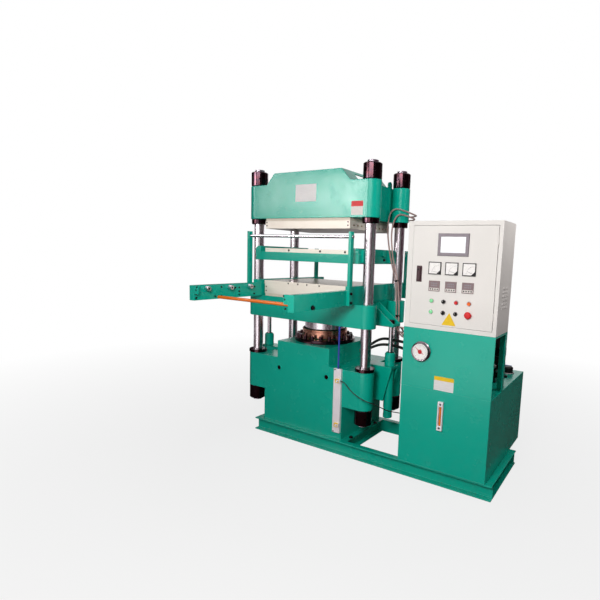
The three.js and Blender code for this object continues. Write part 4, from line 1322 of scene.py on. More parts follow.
@dataclass(frozen=True)
class Cords:
    """Heater conduits, pressure hoses and the sensor's cable, by their routes about the ram's axis."""

    conduit_radius: float = 0.006
    hose_radius: float = 0.011
    cable_radius: float = 0.0035
    tie_heights: tuple[float, float] = (1.293, 1.020)
    upper_conduit: Route = (
        (470, 298.3, 1800), (470, 322, 1800), (483, 346, 1800), (508, 362, 1801), (542, 366, 1802),
        (578, 357, 1803), (610, 334, 1804), (634, 300, 1805), (646, 258, 1806), (644, 216, 1810),
        (626, 180, 1820), (594, 156, 1832), (556, 143, 1842), (524, 136, 1840), (500, 130, 1820),
        (489, 124, 1785), (485, 119, 1740), (484, 117, 1690), (489, 121, 1620), (498, 130, 1540),
        (514, 138, 1450), (538, 140, 1370), (560, 140, 1293), (572, 140, 1200), (579, 140, 1100),
        (582, 138, 1020), (590, 124, 962), (612, 94, 930), (648, 52, 918), (696, 2, 922),
        (744, -68, 938), (782, -150, 964), (808, -228, 992), (830, -286, 1008), (854, -306, 1010),
        (866, -306, 1010), (878.7, -306, 1010),
    )
    lower_conduit: Route = (
        (492, 298.3, 1768), (492, 318, 1768), (504, 340, 1769), (528, 352, 1770), (556, 350, 1772),
        (586, 338, 1774), (612, 314, 1776), (630, 282, 1778), (638, 246, 1780), (635, 210, 1784),
        (618, 176, 1792), (592, 156, 1800), (564, 142, 1800), (542, 134, 1780), (528, 128, 1745),
        (520, 124, 1700), (516, 124, 1640), (520, 130, 1560), (532, 138, 1460), (556, 140, 1370),
        (580, 140, 1293), (592, 140, 1200), (600, 140, 1100), (604, 138, 1020), (612, 122, 954),
        (634, 90, 914), (670, 46, 894), (716, -6, 892), (760, -74, 904), (794, -154, 928),
        (818, -228, 952), (838, -282, 966), (856, -300, 968), (866, -300, 968), (878.7, -300, 968),
    )
    upper_hose: Route = (
        (259.3, 200, 731), (290, 200, 731), (330, 203, 750), (380, 200, 784), (430, 186, 808),
        (480, 162, 822), (540, 130, 830), (600, 101, 834), (660, 65, 838), (720, 18, 846),
        (770, -42, 862), (804, -104, 882), (830, -150, 896), (856, -166, 898), (878.7, -166, 898),
    )
    lower_hose: Route = (
        (259.3, 150, 700), (290, 150, 700), (335, 150, 720), (390, 146, 748), (450, 132, 772),
        (520, 114, 786), (590, 92, 792), (655, 62, 794), (715, 20, 796), (768, -36, 804),
        (804, -96, 818), (830, -140, 828), (856, -156, 830), (878.7, -156, 830),
    )
    cable: Route = (
        (384.3, -326, 558), (404, -326, 558), (436, -331, 542), (474, -337, 514), (516, -339, 490),
        (562, -337, 468), (608, -328, 452), (644, -304, 436), (664, -260, 412), (672, -200, 380),
        (674, -140, 350), (684, -80, 325), (708, -30, 308), (748, 2, 300), (794, 26, 302),
        (832, 56, 322), (852, 84, 366), (858, 94, 430), (858, 90, 510), (856, 66, 590),
        (853, 18, 656), (852, -40, 704), (854, -90, 732), (864, -106, 738), (878.7, -106, 738),
    )

    def build(self) -> None:
        """Lay the five cords, with the conduits' ties and the hoses' fittings."""
        ties = [self.tie(height) for height in self.tie_heights]
        conduit = (self.conduit_radius, Look.CONDUIT, "conduit_pair")
        self.lay("conduit_upper", self.upper_conduit, *conduit, ties)
        self.lay("conduit_lower", self.lower_conduit, *conduit, [])
        hose = (self.hose_radius, Look.HOSE, "hydraulic_hoses")
        self.lay("hose_upper", self.upper_hose, *hose, self.fittings(self.upper_hose, "upper"))
        self.lay("hose_lower", self.lower_hose, *hose, self.fittings(self.lower_hose, "lower"))
        self.lay("sensor_cable_jacket", self.cable, self.cable_radius, Look.CABLE, "sensor_cable", [])

    def lay(
        self, name: str, places: Route, radius: float, look: Look, node: str, extras: list[bpy.types.Object]
    ) -> None:
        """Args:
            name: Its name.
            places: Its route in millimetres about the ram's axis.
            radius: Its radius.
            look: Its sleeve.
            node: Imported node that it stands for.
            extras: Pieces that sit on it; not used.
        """
        route = [placed(place) for place in places]
        cord = Workpiece.tube(route, radius, sides=12).finished(look).smooth(60)
        cord.mounted(name, "press_frame", node)

    def tie(self, height: float) -> bpy.types.Object:
        """Wrap tape round both conduits.

        Args:
            height: Height of its middle.

        Returns:
            The tape.
        """
        routes = (self.upper_conduit, self.lower_conduit)
        first, second = (placed(place) for route in routes for place in route if place[2] == height * 1000)
        reach = (second - first).length / 2 + self.conduit_radius + 0.0015
        deep = self.conduit_radius + 0.0015
        profile = ((1.0, -0.009), (1.03, -0.006), (1.03, 0.006), (1.0, 0.009))
        ring = Workpiece.turned(profile, Vector(), sides=32)
        spread = Matrix.Diagonal((reach / 1.03, deep / 1.03, 1, 1))
        ring.moved(Matrix.Translation((first + second) / 2) @ spread)
        ring.finished(Look.RUBBER).smooth(50)
        return ring.mounted(f"conduit_tie_{round(height * 1000)}", "press_frame", "conduit_pair").thing

    def fittings(self, route: Route, name: str) -> list[bpy.types.Object]:
        """Swaged ferrules with their nuts at both ends of a hose.

        Args:
            route: The hose's route.
            name: What the hose is called.

        Returns:
            The two fittings.
        """
        made = []
        swages = [(0.0148 if step % 2 == 0 else 0.0138, 0.0145 + 0.0015 * step) for step in range(5)]
        for end, first, second in (("body", route[0], route[1]), ("stand", route[-1], route[-2])):
            foot = placed(first)
            run = (placed(second) - foot).normalized()
            profile = ((0.0118, 0.012), (0.0148, 0.013), *swages, (0.0148, 0.024), (0.0118, 0.0255))
            ferrule = Workpiece.turned(profile, foot, run, 40)
            profile = ((0.0165, 0.0), (0.0178, 0.0015), (0.0178, 0.0105), (0.0165, 0.012))
            nut = Workpiece.turned(profile, foot, run, 6)
            ferrule.finished(Look.ZINC).smooth(50).joined(nut.finished(Look.ZINC).eased(0.0008, 1))
            made.append(ferrule.mounted(f"hose_{name}_fitting_{end}", "press_frame", "hydraulic_hoses").thing)
        return made


@dataclass(frozen=True)
class BaseFrame:
    """Welded channels under the press, with washers and bolts on their flanges."""

    anchor_inset: float = 0.024
    anchor_radius: float = 0.015
    cross_channel: float = 0.390
    cross_bolt: float = 0.425

    def build(self) -> None:
        """Build the channels, their weld seams and the anchor bolts."""
        channels = Workpiece.enamelled("base_frame")
        channels.mounted("base_channels", "press_frame", "base_frame")
        self.build_fillers()
        self.build_seams()
        self.build_anchors()

    def build_fillers(self) -> None:
        """Weld a flat bar into the gap between each side of the body and its cross channel."""
        body = Extent.of("press_body")
        fillers = []
        for side in (-1, 1):
            inner, outer = sorted(
                (side * (PressBody.half_width - 0.008), side * (self.cross_channel + 0.001))
            )
            low = Vector((RAM.centre.x + inner, body.low.y + 0.004, 0.080))
            high = Vector((RAM.centre.x + outer, body.high.y - 0.004, 0.1004))
            fillers.append(Workpiece.cuboid(low, high).finished(Look.GREEN))
        fillers[0].joined(fillers[1]).eased(0.0008, 1).mounted("base_fillers", "press_frame")

    def build_seams(self) -> None:
        """Weld the body and the tank to the channels."""
        seams = []
        for node in ("press_body", "oil_tank"):
            box = Extent.of(node)
            half = PressBody.half_width if node == "press_body" else box.size.x / 2
            left, right = box.centre.x - half, box.centre.x + half
            foot = Extent(Vector((left, box.low.y, 0)), Vector((right, box.high.y, 0)))
            corners = outline(foot, 0.1015)
            seams.append(bead(corners[:2], 0.004))
            if node == "press_body":
                seams.append(bead(corners[2:], 0.004))
        together(seams).mounted("base_weld_seams", "press_frame")

    def build_anchors(self) -> None:
        """Set hexagon bolts in the left flange and in the cross channel beside the body."""
        extent = Extent.of("base_frame")
        bolt = hexagon_head(self.anchor_radius, 0.014, Look.BLACKENED)
        left, cross = extent.low.x + self.anchor_inset, at(self.cross_bolt, 0, 0).x
        front, rear = extent.low.y + 0.16, extent.high.y - 0.16
        spots = ((left, front), (left, rear), (cross, front - 0.04), (cross, rear))
        places = [Vector((x, y, extent.high.z)) for x, y in spots]
        bolt.repeated(places).mounted("anchor_bolts", "press_frame")


@dataclass(frozen=True)
class Stations:
    """Where the four columns stand, from the ram's axis, and the size of the bosses round them."""

    x: float = 0.53
    y: float = 0.23
    boss: float = 0.0686

    def places(self, level: float) -> dict[str, Vector]:
        """Points on the columns' axes at a height, by the end of their nodes' names."""
        ends = {"front_left": (-1, -1), "front_right": (1, -1), "rear_left": (-1, 1), "rear_right": (1, 1)}
        return {name: at(side * self.x, end * self.y, level) for name, (side, end) in ends.items()}

    def bosses(self, name: str, body: str, low: float, high: float, chamfer: float = 0.004) -> None:
        """Turn smooth bosses round the four columns between two heights.

        Args:
            name: Name of the four together.
            body: Body that they move with.
            low: Height of their foot.
            high: Height of their top.
            chamfer: Size of the chamfer at both ends.
        """
        outer, tall = self.boss, high - low
        inner = Columns.radius + 0.0006
        profile = (
            (outer - chamfer, -0.0003), (outer, chamfer), (outer, tall - chamfer),
            (outer - chamfer, tall + 0.0003), (inner, tall + 0.0003), (inner, -0.0003),
        )
        boss = Workpiece.turned(profile, Vector(), sides=96, ring=True).finished(Look.GREEN).smooth(20)
        boss.repeated(self.places(low).values()).mounted(name, body)


@dataclass(frozen=True)
class PressBody:
    """Lower body: a welded box with bosses, side brackets and a ring for the main cylinder."""

    half_width: float = 0.384
    web_across: float = 0.4705
    web_half: float = 0.061
    boss_low: float = 0.355
    shoulder: float = 0.640
    plug_across: float = 0.234
    plug_height: float = 0.557
    plug_radius: float = 0.0175

    def build(self) -> None:
        """Build the body, its bosses, plugs and seams."""
        body = Workpiece.enamelled("press_body")
        body.mounted("lower_body", "press_frame", "press_body")
        Stations().bosses("body_bosses", "press_frame", self.boss_low, self.shoulder)
        self.build_plugs()
        self.build_seams()

    def build_plugs(self) -> None:
        """Screw the two threaded plugs into the front."""
        radius = self.plug_radius
        plug = Workpiece.turned(((radius, 0), (radius, 0.003), (radius - 0.001, 0.004)), Vector(), sides=40)
        plug.cut(Workpiece.turned(((0.5 * radius, 0.001), (0.5 * radius, 0.006)), Vector(), sides=6))
        rim = Workpiece.turned(
            ((radius + 0.0008, 0), (radius + 0.0045, 0.0), (radius + 0.003, 0.002), (radius + 0.0008, 0.002)),
            Vector((0, 0, 0.006)), sides=48, ring=True,
        )
        plug.finished(Look.BLACKENED).smooth().joined(rim.finished(Look.GREEN).smooth())
        depth = Extent.of("press_body").low.y - RAM.centre.y + 0.006
        fronts = [at(side * self.plug_across, depth, self.plug_height) for side in (-1, 1)]
        plug.repeated(facing(fronts, FRONT)).mounted("body_plugs", "press_frame")

    def build_seams(self) -> None:
        """Lay the weld seams of the top box, the bosses' webs and the brackets."""
        back = Extent.of("press_body").high.y - RAM.centre.y
        ring = Extent.around(at(0, 0, self.shoulder), (0.5066, 0.5066, 0))
        seams = [bead(outline(ring, self.shoulder + 0.001), 0.005, closed=True)]
        for side, end in product((-1, 1), (-1, 1)):
            seams.append(upright_bead(side * self.half_width, end * back, 0.105, 0.352, 0.003))
            seams.append(upright_bead(side * self.web_across, end * self.web_half, 0.39, 0.63, 0.004))
        together(seams).mounted("body_weld_seams", "press_frame")


@dataclass(frozen=True)
class MainCylinder:
    """Main cylinder with its flange, bolts, gland and wiper, and the ram in it."""

    barrel_radius: float = 0.2152
    flange_radius: float = 0.2503
    flange_low: float = 0.778
    flange_high: float = 0.808
    gland_radius: float = 0.185
    bolt_circle: float = 0.218
    bolt_radius: float = 0.0145
    bolt_height: float = 0.0295
    bolt_count: int = 20

    def build(self) -> None:
        """Turn the cylinder and the ram, and screw the flange down."""
        box = Extent.of("main_cylinder")
        bore = RAM.size.x / 2 + 0.0003
        gland, flange = self.gland_radius, self.flange_radius
        profile = (
            (self.barrel_radius - 0.01, box.low.z), (self.barrel_radius, box.low.z + 0.01),
            (self.barrel_radius, self.flange_low), (flange - 0.003, self.flange_low),
            (flange, self.flange_low + 0.003), (flange, self.flange_high - 0.004),
            (flange - 0.004, self.flange_high), (gland + 0.006, self.flange_high),
            (gland, self.flange_high + 0.006), (gland, box.high.z - 0.020),
            (gland - 0.003, box.high.z - 0.018), (gland - 0.003, box.high.z - 0.013),
            (gland, box.high.z - 0.011), (gland, box.high.z - 0.004), (gland - 0.004, box.high.z),
            (bore + 0.004, box.high.z), (bore, box.high.z - 0.004), (bore, RAM.low.z - 0.0003),
        )
        barrel = Workpiece.turned(profile, at(0, 0, 0), sides=128).finished(Look.BLACKENED)
        barrel.painted(Look.BURNISHED, lambda middle, normal: middle.z > self.flange_high + 0.001).smooth(20)
        barrel.mounted("cylinder_barrel", "press_frame", "main_cylinder")
        wiper = (
            (bore + 0.012, 0), (bore + 0.010, 0.003), (bore + 0.001, 0.0045), (bore + 0.0002, 0.002),
            (bore + 0.0002, 0)
        )
        ring = Workpiece.turned(wiper, at(0, 0, box.high.z), sides=128, ring=True)
        ring.finished(Look.RUBBER).smooth(40).mounted("gland_wiper", "press_frame")
        screw = screw_head(self.bolt_radius, self.bolt_height)
        places = around(at(0, 0, self.flange_high), self.bolt_circle, self.bolt_count, 9)
        screw.repeated(places).mounted("flange_screws", "press_frame", "main_cylinder")
        self.build_ram()

    def build_ram(self) -> None:
        """Turn the ram with a chamfer at its foot and its head."""
        low, high, radius = RAM.low.z, RAM.high.z, RAM.size.x / 2
        profile = (
            (radius - 0.006, low), (radius, low + 0.006), (radius, high - 0.012),
            (radius - 0.002, high - 0.010), (radius - 0.002, high - 0.003), (radius - 0.001, high),
        )
        ram = Workpiece.turned(profile, at(0, 0, 0), sides=160).finished(Look.CHROME).smooth(20)
        ram.mounted("chromed_ram", "platform", "ram")


@dataclass(frozen=True)
class Columns:
    """Four chromed columns with their collars, rings and round nuts."""

    radius: float = 0.040
    collar: Three = (0.074, 0.640, 0.666)
    ring: Three = (0.062, 1.705, 1.745)
    nut_radius: float = 0.067
    nut_chamfer: float = 0.006
    hole_radius: float = 0.0075
    hole_count: int = 6

    def build(self) -> None:
        """Turn every column with what sits on it."""
        for name, axis in Stations().places(0).items():
            node = f"column_{name}"
            box = Extent.of(node)
            shaft = Workpiece.turned(self.shaft_profile(box), axis, sides=96).finished(Look.CHROME).smooth(20)
            shaft.mounted(f"{node}_shaft", "press_frame", node)
            self.sleeve(self.collar, 0.003, axis).mounted(f"{node}_collar", "press_frame", node)
            self.sleeve(self.ring, 0.004, axis).mounted(f"{node}_ring", "press_frame", node)
        for end in ("top", "bottom"):
            self.build_nuts(end)

    def shaft_profile(self, box: Extent) -> Profile:
        """Profile of a column with a few threads showing past both nuts.

        Args:
            box: The column's box.

        Returns:
            The profile.
        """
        low, high, radius, pitch = box.low.z, box.high.z, self.radius, 0.003
        profile = [(radius - 0.003, low)]
        for turn in range(1, 5):
            profile += [(radius - 0.0004, low + turn * pitch), (radius - 0.002, low + (turn + 0.5) * pitch)]
        profile += [(radius, low + 0.0165), (radius, high - 0.0205)]
        for turn in range(5, 0, -1):
            profile += [(radius - 0.002, high - (turn + 0.5) * pitch), (radius - 0.0004, high - turn * pitch)]
        return [*profile, (radius - 0.003, high)]

    def sleeve(self, sizes: Three, chamfer: float, axis: Vector) -> Workpiece:
        """Blackened ring round a column.

        Args:
            sizes: Its radius, foot and top.
            chamfer: Chamfer of its outer edges.
            axis: Point on the column's axis at floor level.

        Returns:
            The ring.
        """
        outer, low, high = sizes
        inner = self.radius + 0.0004
        profile = (
            (outer - chamfer, low), (outer, low + chamfer), (outer, high - chamfer), (outer - chamfer, high),
            (inner + 0.001, high), (inner, high - 0.001), (inner, low),
        )
        return Workpiece.turned(profile, axis, sides=80, ring=True).finished(Look.BLACKENED).smooth(20)

    def build_nuts(self, end: str) -> None:
        """Turn one nut with its spanner holes, and copy it to the four columns.

        Args:
            end: Which end of the columns, top or bottom.
        """
        box = Extent.of(f"{end}_nut_front_left")
        tall, outer, inner, chamfer = box.size.z, self.nut_radius, self.radius + 0.0005, self.nut_chamfer
        profile = (
            (outer - chamfer, 0), (outer, chamfer), (outer, tall - chamfer), (outer - chamfer, tall),
            (inner + 0.004, tall), (inner, tall - 0.004), (inner, 0),
        )
        nut = Workpiece.turned(profile, Vector(), sides=96, ring=True)
        for place in around(Vector((0, 0, tall / 2)), outer, self.hole_count, 15):
            outward = Vector((place.x, place.y, 0)).normalized()
            nut.cut(Workpiece.rod(place - 0.014 * outward, place + 0.01 * outward, self.hole_radius, 24))
        nut.finished(Look.BLACKENED).smooth(20)
        for name, axis in Stations().places(box.low.z).items():
            copy = Workpiece(nut.thing.copy())
            copy.thing.data = nut.thing.data.copy()
            bpy.context.scene.collection.objects.link(copy.thing)
            copy.moved(Matrix.Translation(axis)).mounted(
                f"{end}_round_nut_{name}", "press_frame", f"{end}_nut_{name}"
            )
        bpy.data.objects.remove(nut.thing)


@dataclass(frozen=True)
class UpperBeam:
    """Upper beam with its bosses, seams, bare plates and lifting eyes."""

    boss_low: float = 1.745
    boss_high: float = 2.005
    name_plate: Four = (-0.097, 0.097, 1.866, 1.992)
    side_plate: Four = (0.407, 0.503, 1.761, 1.857)
    plate_thickness: float = 0.0012
    eye_place: tuple[float, float] = (0.455, 0.175)
    eye_radius: float = 0.026
    eye_hole: float = 0.012
    eye_rise: float = 0.024

    def build(self) -> None:
        """Build the beam and what is fixed to it."""
        beam = Workpiece.enamelled("upper_beam", 0.003)
        beam.mounted("welded_beam", "press_frame", "upper_beam")
        Stations().bosses("beam_bosses", "press_frame", self.boss_low, self.boss_high)
        self.build_plates()
        self.build_eyes()
        self.build_seams()

    def build_plates(self) -> None:
        """Rivet the bare grey plate on, and stick the two-coloured one beside it."""
        plate = self.plate(self.name_plate).finished(Look.PLATE).sunk(on_front, 0.004, 0.0003)
        plate.eased(0.0004, 1).mounted("bare_name_plate", "press_frame")
        left, right, low, high = self.name_plate
        corners = product((left + 0.006, right - 0.006), (low + 0.006, high - 0.006))
        depth = Extent.of("upper_beam").low.y - RAM.centre.y - self.plate_thickness
        rivets = [at(x, depth, z) for x, z in corners]
        round_head(0.0028, 0.0016).repeated(facing(rivets, FRONT)).mounted("plate_rivets", "press_frame")
        left, right, low, high = self.side_plate
        split = low + 0.62 * (high - low)
        lower = self.plate((left, right, low, split)).finished(Look.PALE).eased(0.0003, 1)
        upper = self.plate((left, right, split, high)).finished(Look.RED).eased(0.0003, 1)
        lower.joined(upper).mounted("bare_side_plate", "press_frame")

    def plate(self, sizes: Four) -> Workpiece:
        """Cut a thin plate for the beam's front.

        Args:
            sizes: Its left and right side from the ram's axis, its foot and its top.

        Returns:
            The plate.
        """
        left, right, low, high = sizes
        front = Extent.of("upper_beam").low.y
        corner = (at(left, 0, 0).x, front - self.plate_thickness, low)
        return Workpiece.cuboid(corner, (at(right, 0, 0).x, front + 0.0005, high))

    def build_eyes(self) -> None:
        """Weld a low lifting lug on the top of each end, near the rear."""
        lugs = []
        across, depth = self.eye_place
        for side in (-1, 1):
            middle = at(side * across, depth, self.boss_high + self.eye_rise)
            lug = Workpiece.turned(((self.eye_radius, -0.006), (self.eye_radius, 0.006)), middle, RIGHT, 40)
            foot = Extent.around(middle - Vector((0, 0, 0.013)), (0.012, 0.052, 0.026))
            lug.fused(Workpiece.block(foot))
            lug.cut(Workpiece.rod(middle - 0.02 * RIGHT, middle + 0.02 * RIGHT, self.eye_hole, 32))
            lugs.append(lug.finished(Look.GREEN, Look.GREEN_EDGE).eased(0.0015))
        lugs[0].joined(lugs[1]).mounted("lifting_lugs", "press_frame")

    def build_seams(self) -> None:
        """Lay the seams between the front and rear plates and the bosses."""
        corners = product((-1, 1), (-1, 1))
        across = PressBody.web_across
        seams = [upright_bead(side * across, end * 0.156, 1.75, 2.0, 0.0035) for side, end in corners]
        together(seams).mounted("beam_weld_seams", "press_frame")


@dataclass(frozen=True)
class HotPlates:
    """Three ground and drilled platens with their insulation boards, and the plate that slides out."""

    edge: float = 0.0015
    board: float = 0.020
    lower_board: float = 0.022
    heater_radius: float = 0.007
    heater_count: int = 10
    slab_holes: tuple[float, ...] = (-0.155, 0.145, 0.366)
    slab_hole_radius: float = 0.0085
    slide_holes: tuple[float, ...] = (-0.155, -0.060, 0.028, 0.145)
    slide_hole_radius: float = 0.0062

    def build(self) -> None:
        """Build the three platens and the sliding plate."""
        upper, lower = Extent.of("upper_hot_plate"), Extent.of("lower_hot_plate")
        self.build_heated(
            "upper", upper.high.z - self.board, upper.low.z + 0.027, (1.690, 1.714), "press_frame"
        )
        self.build_middle()
        split = lower.low.z + self.lower_board
        self.build_heated("lower", split, split + 0.040, (1.172, 1.205), "platform")
        self.build_slide()

    def build_heated(self, end: str, split: float, level: float, rows: Sequence[float], body: str) -> None:
        """Build the upper or the lower platen with its heaters, board and screws.

        Args:
            end: Which of them, upper or lower.
            split: Height at which the platen meets its board.
            level: Height of the heater holes.
            rows: Heights of the small screws in its front.
            body: Body that it moves with.
        """
        node = f"{end}_hot_plate"
        box = Extent.of(node)
        under = Extent(box.low, Vector((box.high.x, box.high.y, split)))
        over = Extent(Vector((box.low.x, box.low.y, split)), box.high)
        slab, board = (under, over) if end == "upper" else (over, under)
        plate = self.drilled(Workpiece.block(slab), slab, level).finished(Look.PLATEN).eased(self.edge)
        # The upper platen's downward faces get the dark brown copy of its steel: painted shade.
        if end == "upper":
            plate.painted(Look.PLATEN_UNDERSIDE_SHADE, lambda middle, normal: normal.z < -0.9)
        plate.mounted(f"{end}_platen", body, node)
        self.heaters(slab, level).mounted(f"{end}_heater_ends", body)
        sheet = Workpiece.block(board.shrunk(0.003, 0.003, 0)).finished(Look.BOARD).eased(0.002)
        sheet.mounted(f"{end}_board", body, node)
        self.corner_screws(f"{end}_platen_screws", box, rows, body)

    def heater_places(self, box: Extent, x: float, level: float) -> list[Vector]:
        """A point at each heater hole along one side of a platen, by its place across and its height."""
        pitch = box.size.y / (self.heater_count + 1)
        return [Vector((x, box.low.y + (index + 1) * pitch, level)) for index in range(self.heater_count)]

    def drilled(self, plate: Workpiece, box: Extent, level: float) -> Workpiece:
        """Drill blind heater holes into both sides of a platen.

        Args:
            plate: The platen.
            box: Its box.
            level: Height of the holes.

        Returns:
            The platen.
        """
        drills = []
        for side, x in ((1, box.low.x), (-1, box.high.x)):
            for mouth in self.heater_places(box, x - side * 0.01, level):
                end = mouth + Vector((side * 0.035, 0, 0))
                drills.append(Workpiece.rod(mouth, end, self.heater_radius, 20))
        return plate.cut(together(drills))

    def heaters(self, box: Extent, level: float) -> Workpiece:
        """Fit the ends of the heater cartridges, with their leads, into both sides.

        Args:
            box: Box of the platen.
            level: Height of the holes.

        Returns:
            All the ends, joined.
        """
        radius = self.heater_radius - 0.0012
        profile = ((radius, 0), (radius, 0.022), (0.0035, 0.0245), (0.0035, 0.026))
        end = Workpiece.turned(profile, Vector(), sides=20)
        right = self.heater_places(box, box.high.x - 0.022, level)
        left = self.heater_places(box, box.low.x + 0.022, level)
        end.finished(Look.BRASS).smooth()
        return end.repeated(facing(right, RIGHT) + facing(left, LEFT))

    def corner_screws(self, name: str, box: Extent, levels: Sequence[float], body: str) -> None:
        """Set small screws near both ends of a platen's front.

        Args:
            name: Name of the screws together.
            box: Box of the platen.
            levels: Heights of the screws.
            body: Body that they move with.
        """
        xs = (box.low.x + 0.016, box.high.x - 0.016)
        places = [Vector((x, box.low.y, z)) for x, z in product(xs, levels)]
        screw_head(0.005, 0.004, Look.BLACKENED).repeated(facing(places, FRONT)).mounted(name, body)

    def holes(self, places: Sequence[float], front: float, level: float, radius: float) -> Workpiece:
        """Drills for the pulling holes in a plate's front edge.

        Args:
            places: Their places across, from the ram's axis.
            front: Depth of the front edge in the scene.
            level: Their height.
            radius: Their radius.

        Returns:
            The drills, joined.
        """
        drills = []
        for x in places:
            mouth = Vector((at(x, 0, 0).x, front - 0.02, level))
            drills.append(Workpiece.rod(mouth, mouth + 0.05 * BACK, radius, 24))
        return together(drills)

    def build_middle(self) -> None:
        """Build the middle platen, which stands in its frame."""
        box = Extent.of("middle_hot_plate")
        plate = Workpiece.copied("middle_hot_plate")
        plate.cut(self.holes(self.slab_holes, box.low.y, 1.500, self.slab_hole_radius))
        plate.finished(Look.PLATEN).eased(self.edge)
        # Top faces get the darker copy of the steel: painted shade.
        plate.painted(Look.PLATEN_TOP_SHADE, on_top)
        # Faces inside the holes get the dark ink colour as painted shade.
        plate.painted(Look.INK_AND_SHADE, self.shaded_hole_walls(box.low.y, 1.500, self.slab_hole_radius))
        plate.mounted("middle_platen_slab", "middle_platen", "middle_hot_plate")

    def shaded_hole_walls(self, front: float, level: float, radius: float) -> Test:
        """Find the faces inside the pulling holes, which are painted dark as painted shade.

        Args:
            front: Depth of the plate's front edge in the scene.
            level: Height of the holes.
            radius: Their radius.

        Returns:
            A test that such faces pass.
        """
        return lambda middle, normal: (
            middle.y > front + 0.0003 and abs(middle.z - level) < radius + 0.0004 and middle.y < front + 0.04
            and (abs(normal.y) < 0.5 or middle.y > front + 0.02) and abs(normal.z) < 0.999
        )

    def build_slide(self) -> None:
        """Build the sliding plate with its pulling holes and a relieved edge."""
        box = Extent.of("slide_plate")
        level = box.centre.z
        drills = self.holes(self.slide_holes, box.low.y, level, self.slide_hole_radius)
        plate = Workpiece.block(box).cut(drills).finished(Look.PLATEN).eased(0.002)
        # Top faces get the darker copy of the steel: painted shade.
        plate.painted(Look.PLATEN_TOP_SHADE, on_top)
        # Faces inside the holes get the dark ink colour as painted shade.
        plate.painted(Look.INK_AND_SHADE, self.shaded_hole_walls(box.low.y, level, self.slide_hole_radius))
        plate.mounted("sliding_mould_plate", "sliding_plate", "slide_plate")


@dataclass(frozen=True)
class MiddleFrame:
    """Frame that carries the middle platen and slides on the columns."""

    screw_across: float = 0.470
    screw_level: float = 1.452

    def build(self) -> None:
        """Build the frame and its bolts."""
        carrier = Workpiece.enamelled("middle_frame", 0.002)
        carrier.mounted("middle_carrier", "middle_platen", "middle_frame")
        self.build_heads()

    def build_heads(self) -> None:
        """Set the screw heads of the side bars."""
        moves = []
        for side, outward in ((1, RIGHT), (-1, LEFT)):
            places = [at(side * self.screw_across, y, self.screw_level) for y in (-0.10, 0.10)]
            moves += facing(places, outward)
        screw_head(0.011, 0.010).repeated(moves).mounted("carrier_side_screws", "middle_platen")


@dataclass(frozen=True)
class Platform:
    """Moving platform with its bosses, and the nuts of the lifting rods on its arms."""

    rod_across: float = 0.615
    arm_level: float = 0.979
    nut_radius: float = 0.026
    nut_height: float = 0.028

    def build(self) -> None:
        """Build the platform, its seams and the rods' nuts."""
        box = Extent.of("moving_platform")
        deck = Workpiece.enamelled("moving_platform")
        deck.mounted("platform_deck", "platform", "moving_platform")
        Stations().bosses("platform_bosses", "platform", box.low.z, box.high.z)
        places = [at(side * self.rod_across, 0, self.arm_level) for side in (-1, 1)]
        nut = hexagon_head(self.nut_radius, self.nut_height, Look.BLACKENED)
        nut.repeated(places).mounted("rod_nuts", "platform")
        across, half = PressBody.web_across, PressBody.web_half
        corners = product((-1, 1), (-1, 1))
        seams = [upright_bead(side * across, end * half, 0.985, 1.12, 0.0035) for side, end in corners]
        together(seams).mounted("platform_weld_seams", "platform")


@dataclass(frozen=True)
class LiftCylinders:
    """Two slim cylinders beside the body that raise the platform quickly."""

    tube_radius: float = 0.035
    gland_radius: float = 0.040
    gland_low: float = 0.655
    rod_radius: float = 0.0175

    def build(self) -> None:
        """Turn both cylinders and their rods."""
        for name in ("left", "right"):
            self.build_side(name)

    def build_side(self, name: str) -> None:
        """Turn the cylinder and the rod of one side.

        Args:
            name: Which side, left or right.
        """
        node, rod_node = f"aux_cylinder_{name}", f"aux_rod_{name}"
        box, rod = Extent.of(node), Extent.of(rod_node)
        foot = Vector((box.centre.x, box.centre.y, 0))
        tube, gland, step = self.tube_radius, self.gland_radius, self.gland_low
        low, high, bore = box.low.z, box.high.z, self.rod_radius + 0.0004
        profile = (
            (tube - 0.004, low), (tube, low + 0.004), (tube, low + 0.030), (tube - 0.0015, low + 0.031),
            (tube - 0.0015, step), (gland - 0.002, step), (gland, step + 0.002), (gland, step + 0.030),
            (gland - 0.002, step + 0.032), (gland - 0.002, step + 0.036), (gland, step + 0.038),
            (gland, high - 0.012), (gland - 0.008, high),
            (bore + 0.003, high), (bore, high - 0.003), (bore, rod.low.z - 0.002),
        )
        barrel = Workpiece.turned(profile, foot, sides=72).finished(Look.GREEN).smooth(25)
        barrel.mounted(f"lift_cylinder_{name}", "press_frame", node)
        mouth = foot + Vector((0, tube - 0.003, high - 0.05))
        port = Workpiece.turned(((0.011, 0), (0.011, 0.012), (0.009, 0.014)), mouth, BACK, 6)
        port.finished(Look.ZINC).eased(0.0008, 1).mounted(f"lift_port_{name}", "press_frame")
        wiper = ((bore + 0.009, 0), (bore + 0.008, 0.003), (bore + 0.0002, 0.004), (bore + 0.0002, 0))
        ring = Workpiece.turned(wiper, foot + high * UP, sides=48, ring=True).finished(Look.RUBBER)
        ring.smooth(40).mounted(f"lift_wiper_{name}", "press_frame")
        bar = Workpiece.rod(foot + rod.low.z * UP, foot + rod.high.z * UP, self.rod_radius, 64)
        bar.finished(Look.CHROME).smooth(20).mounted(f"lift_rod_{name}", "platform", rod_node)


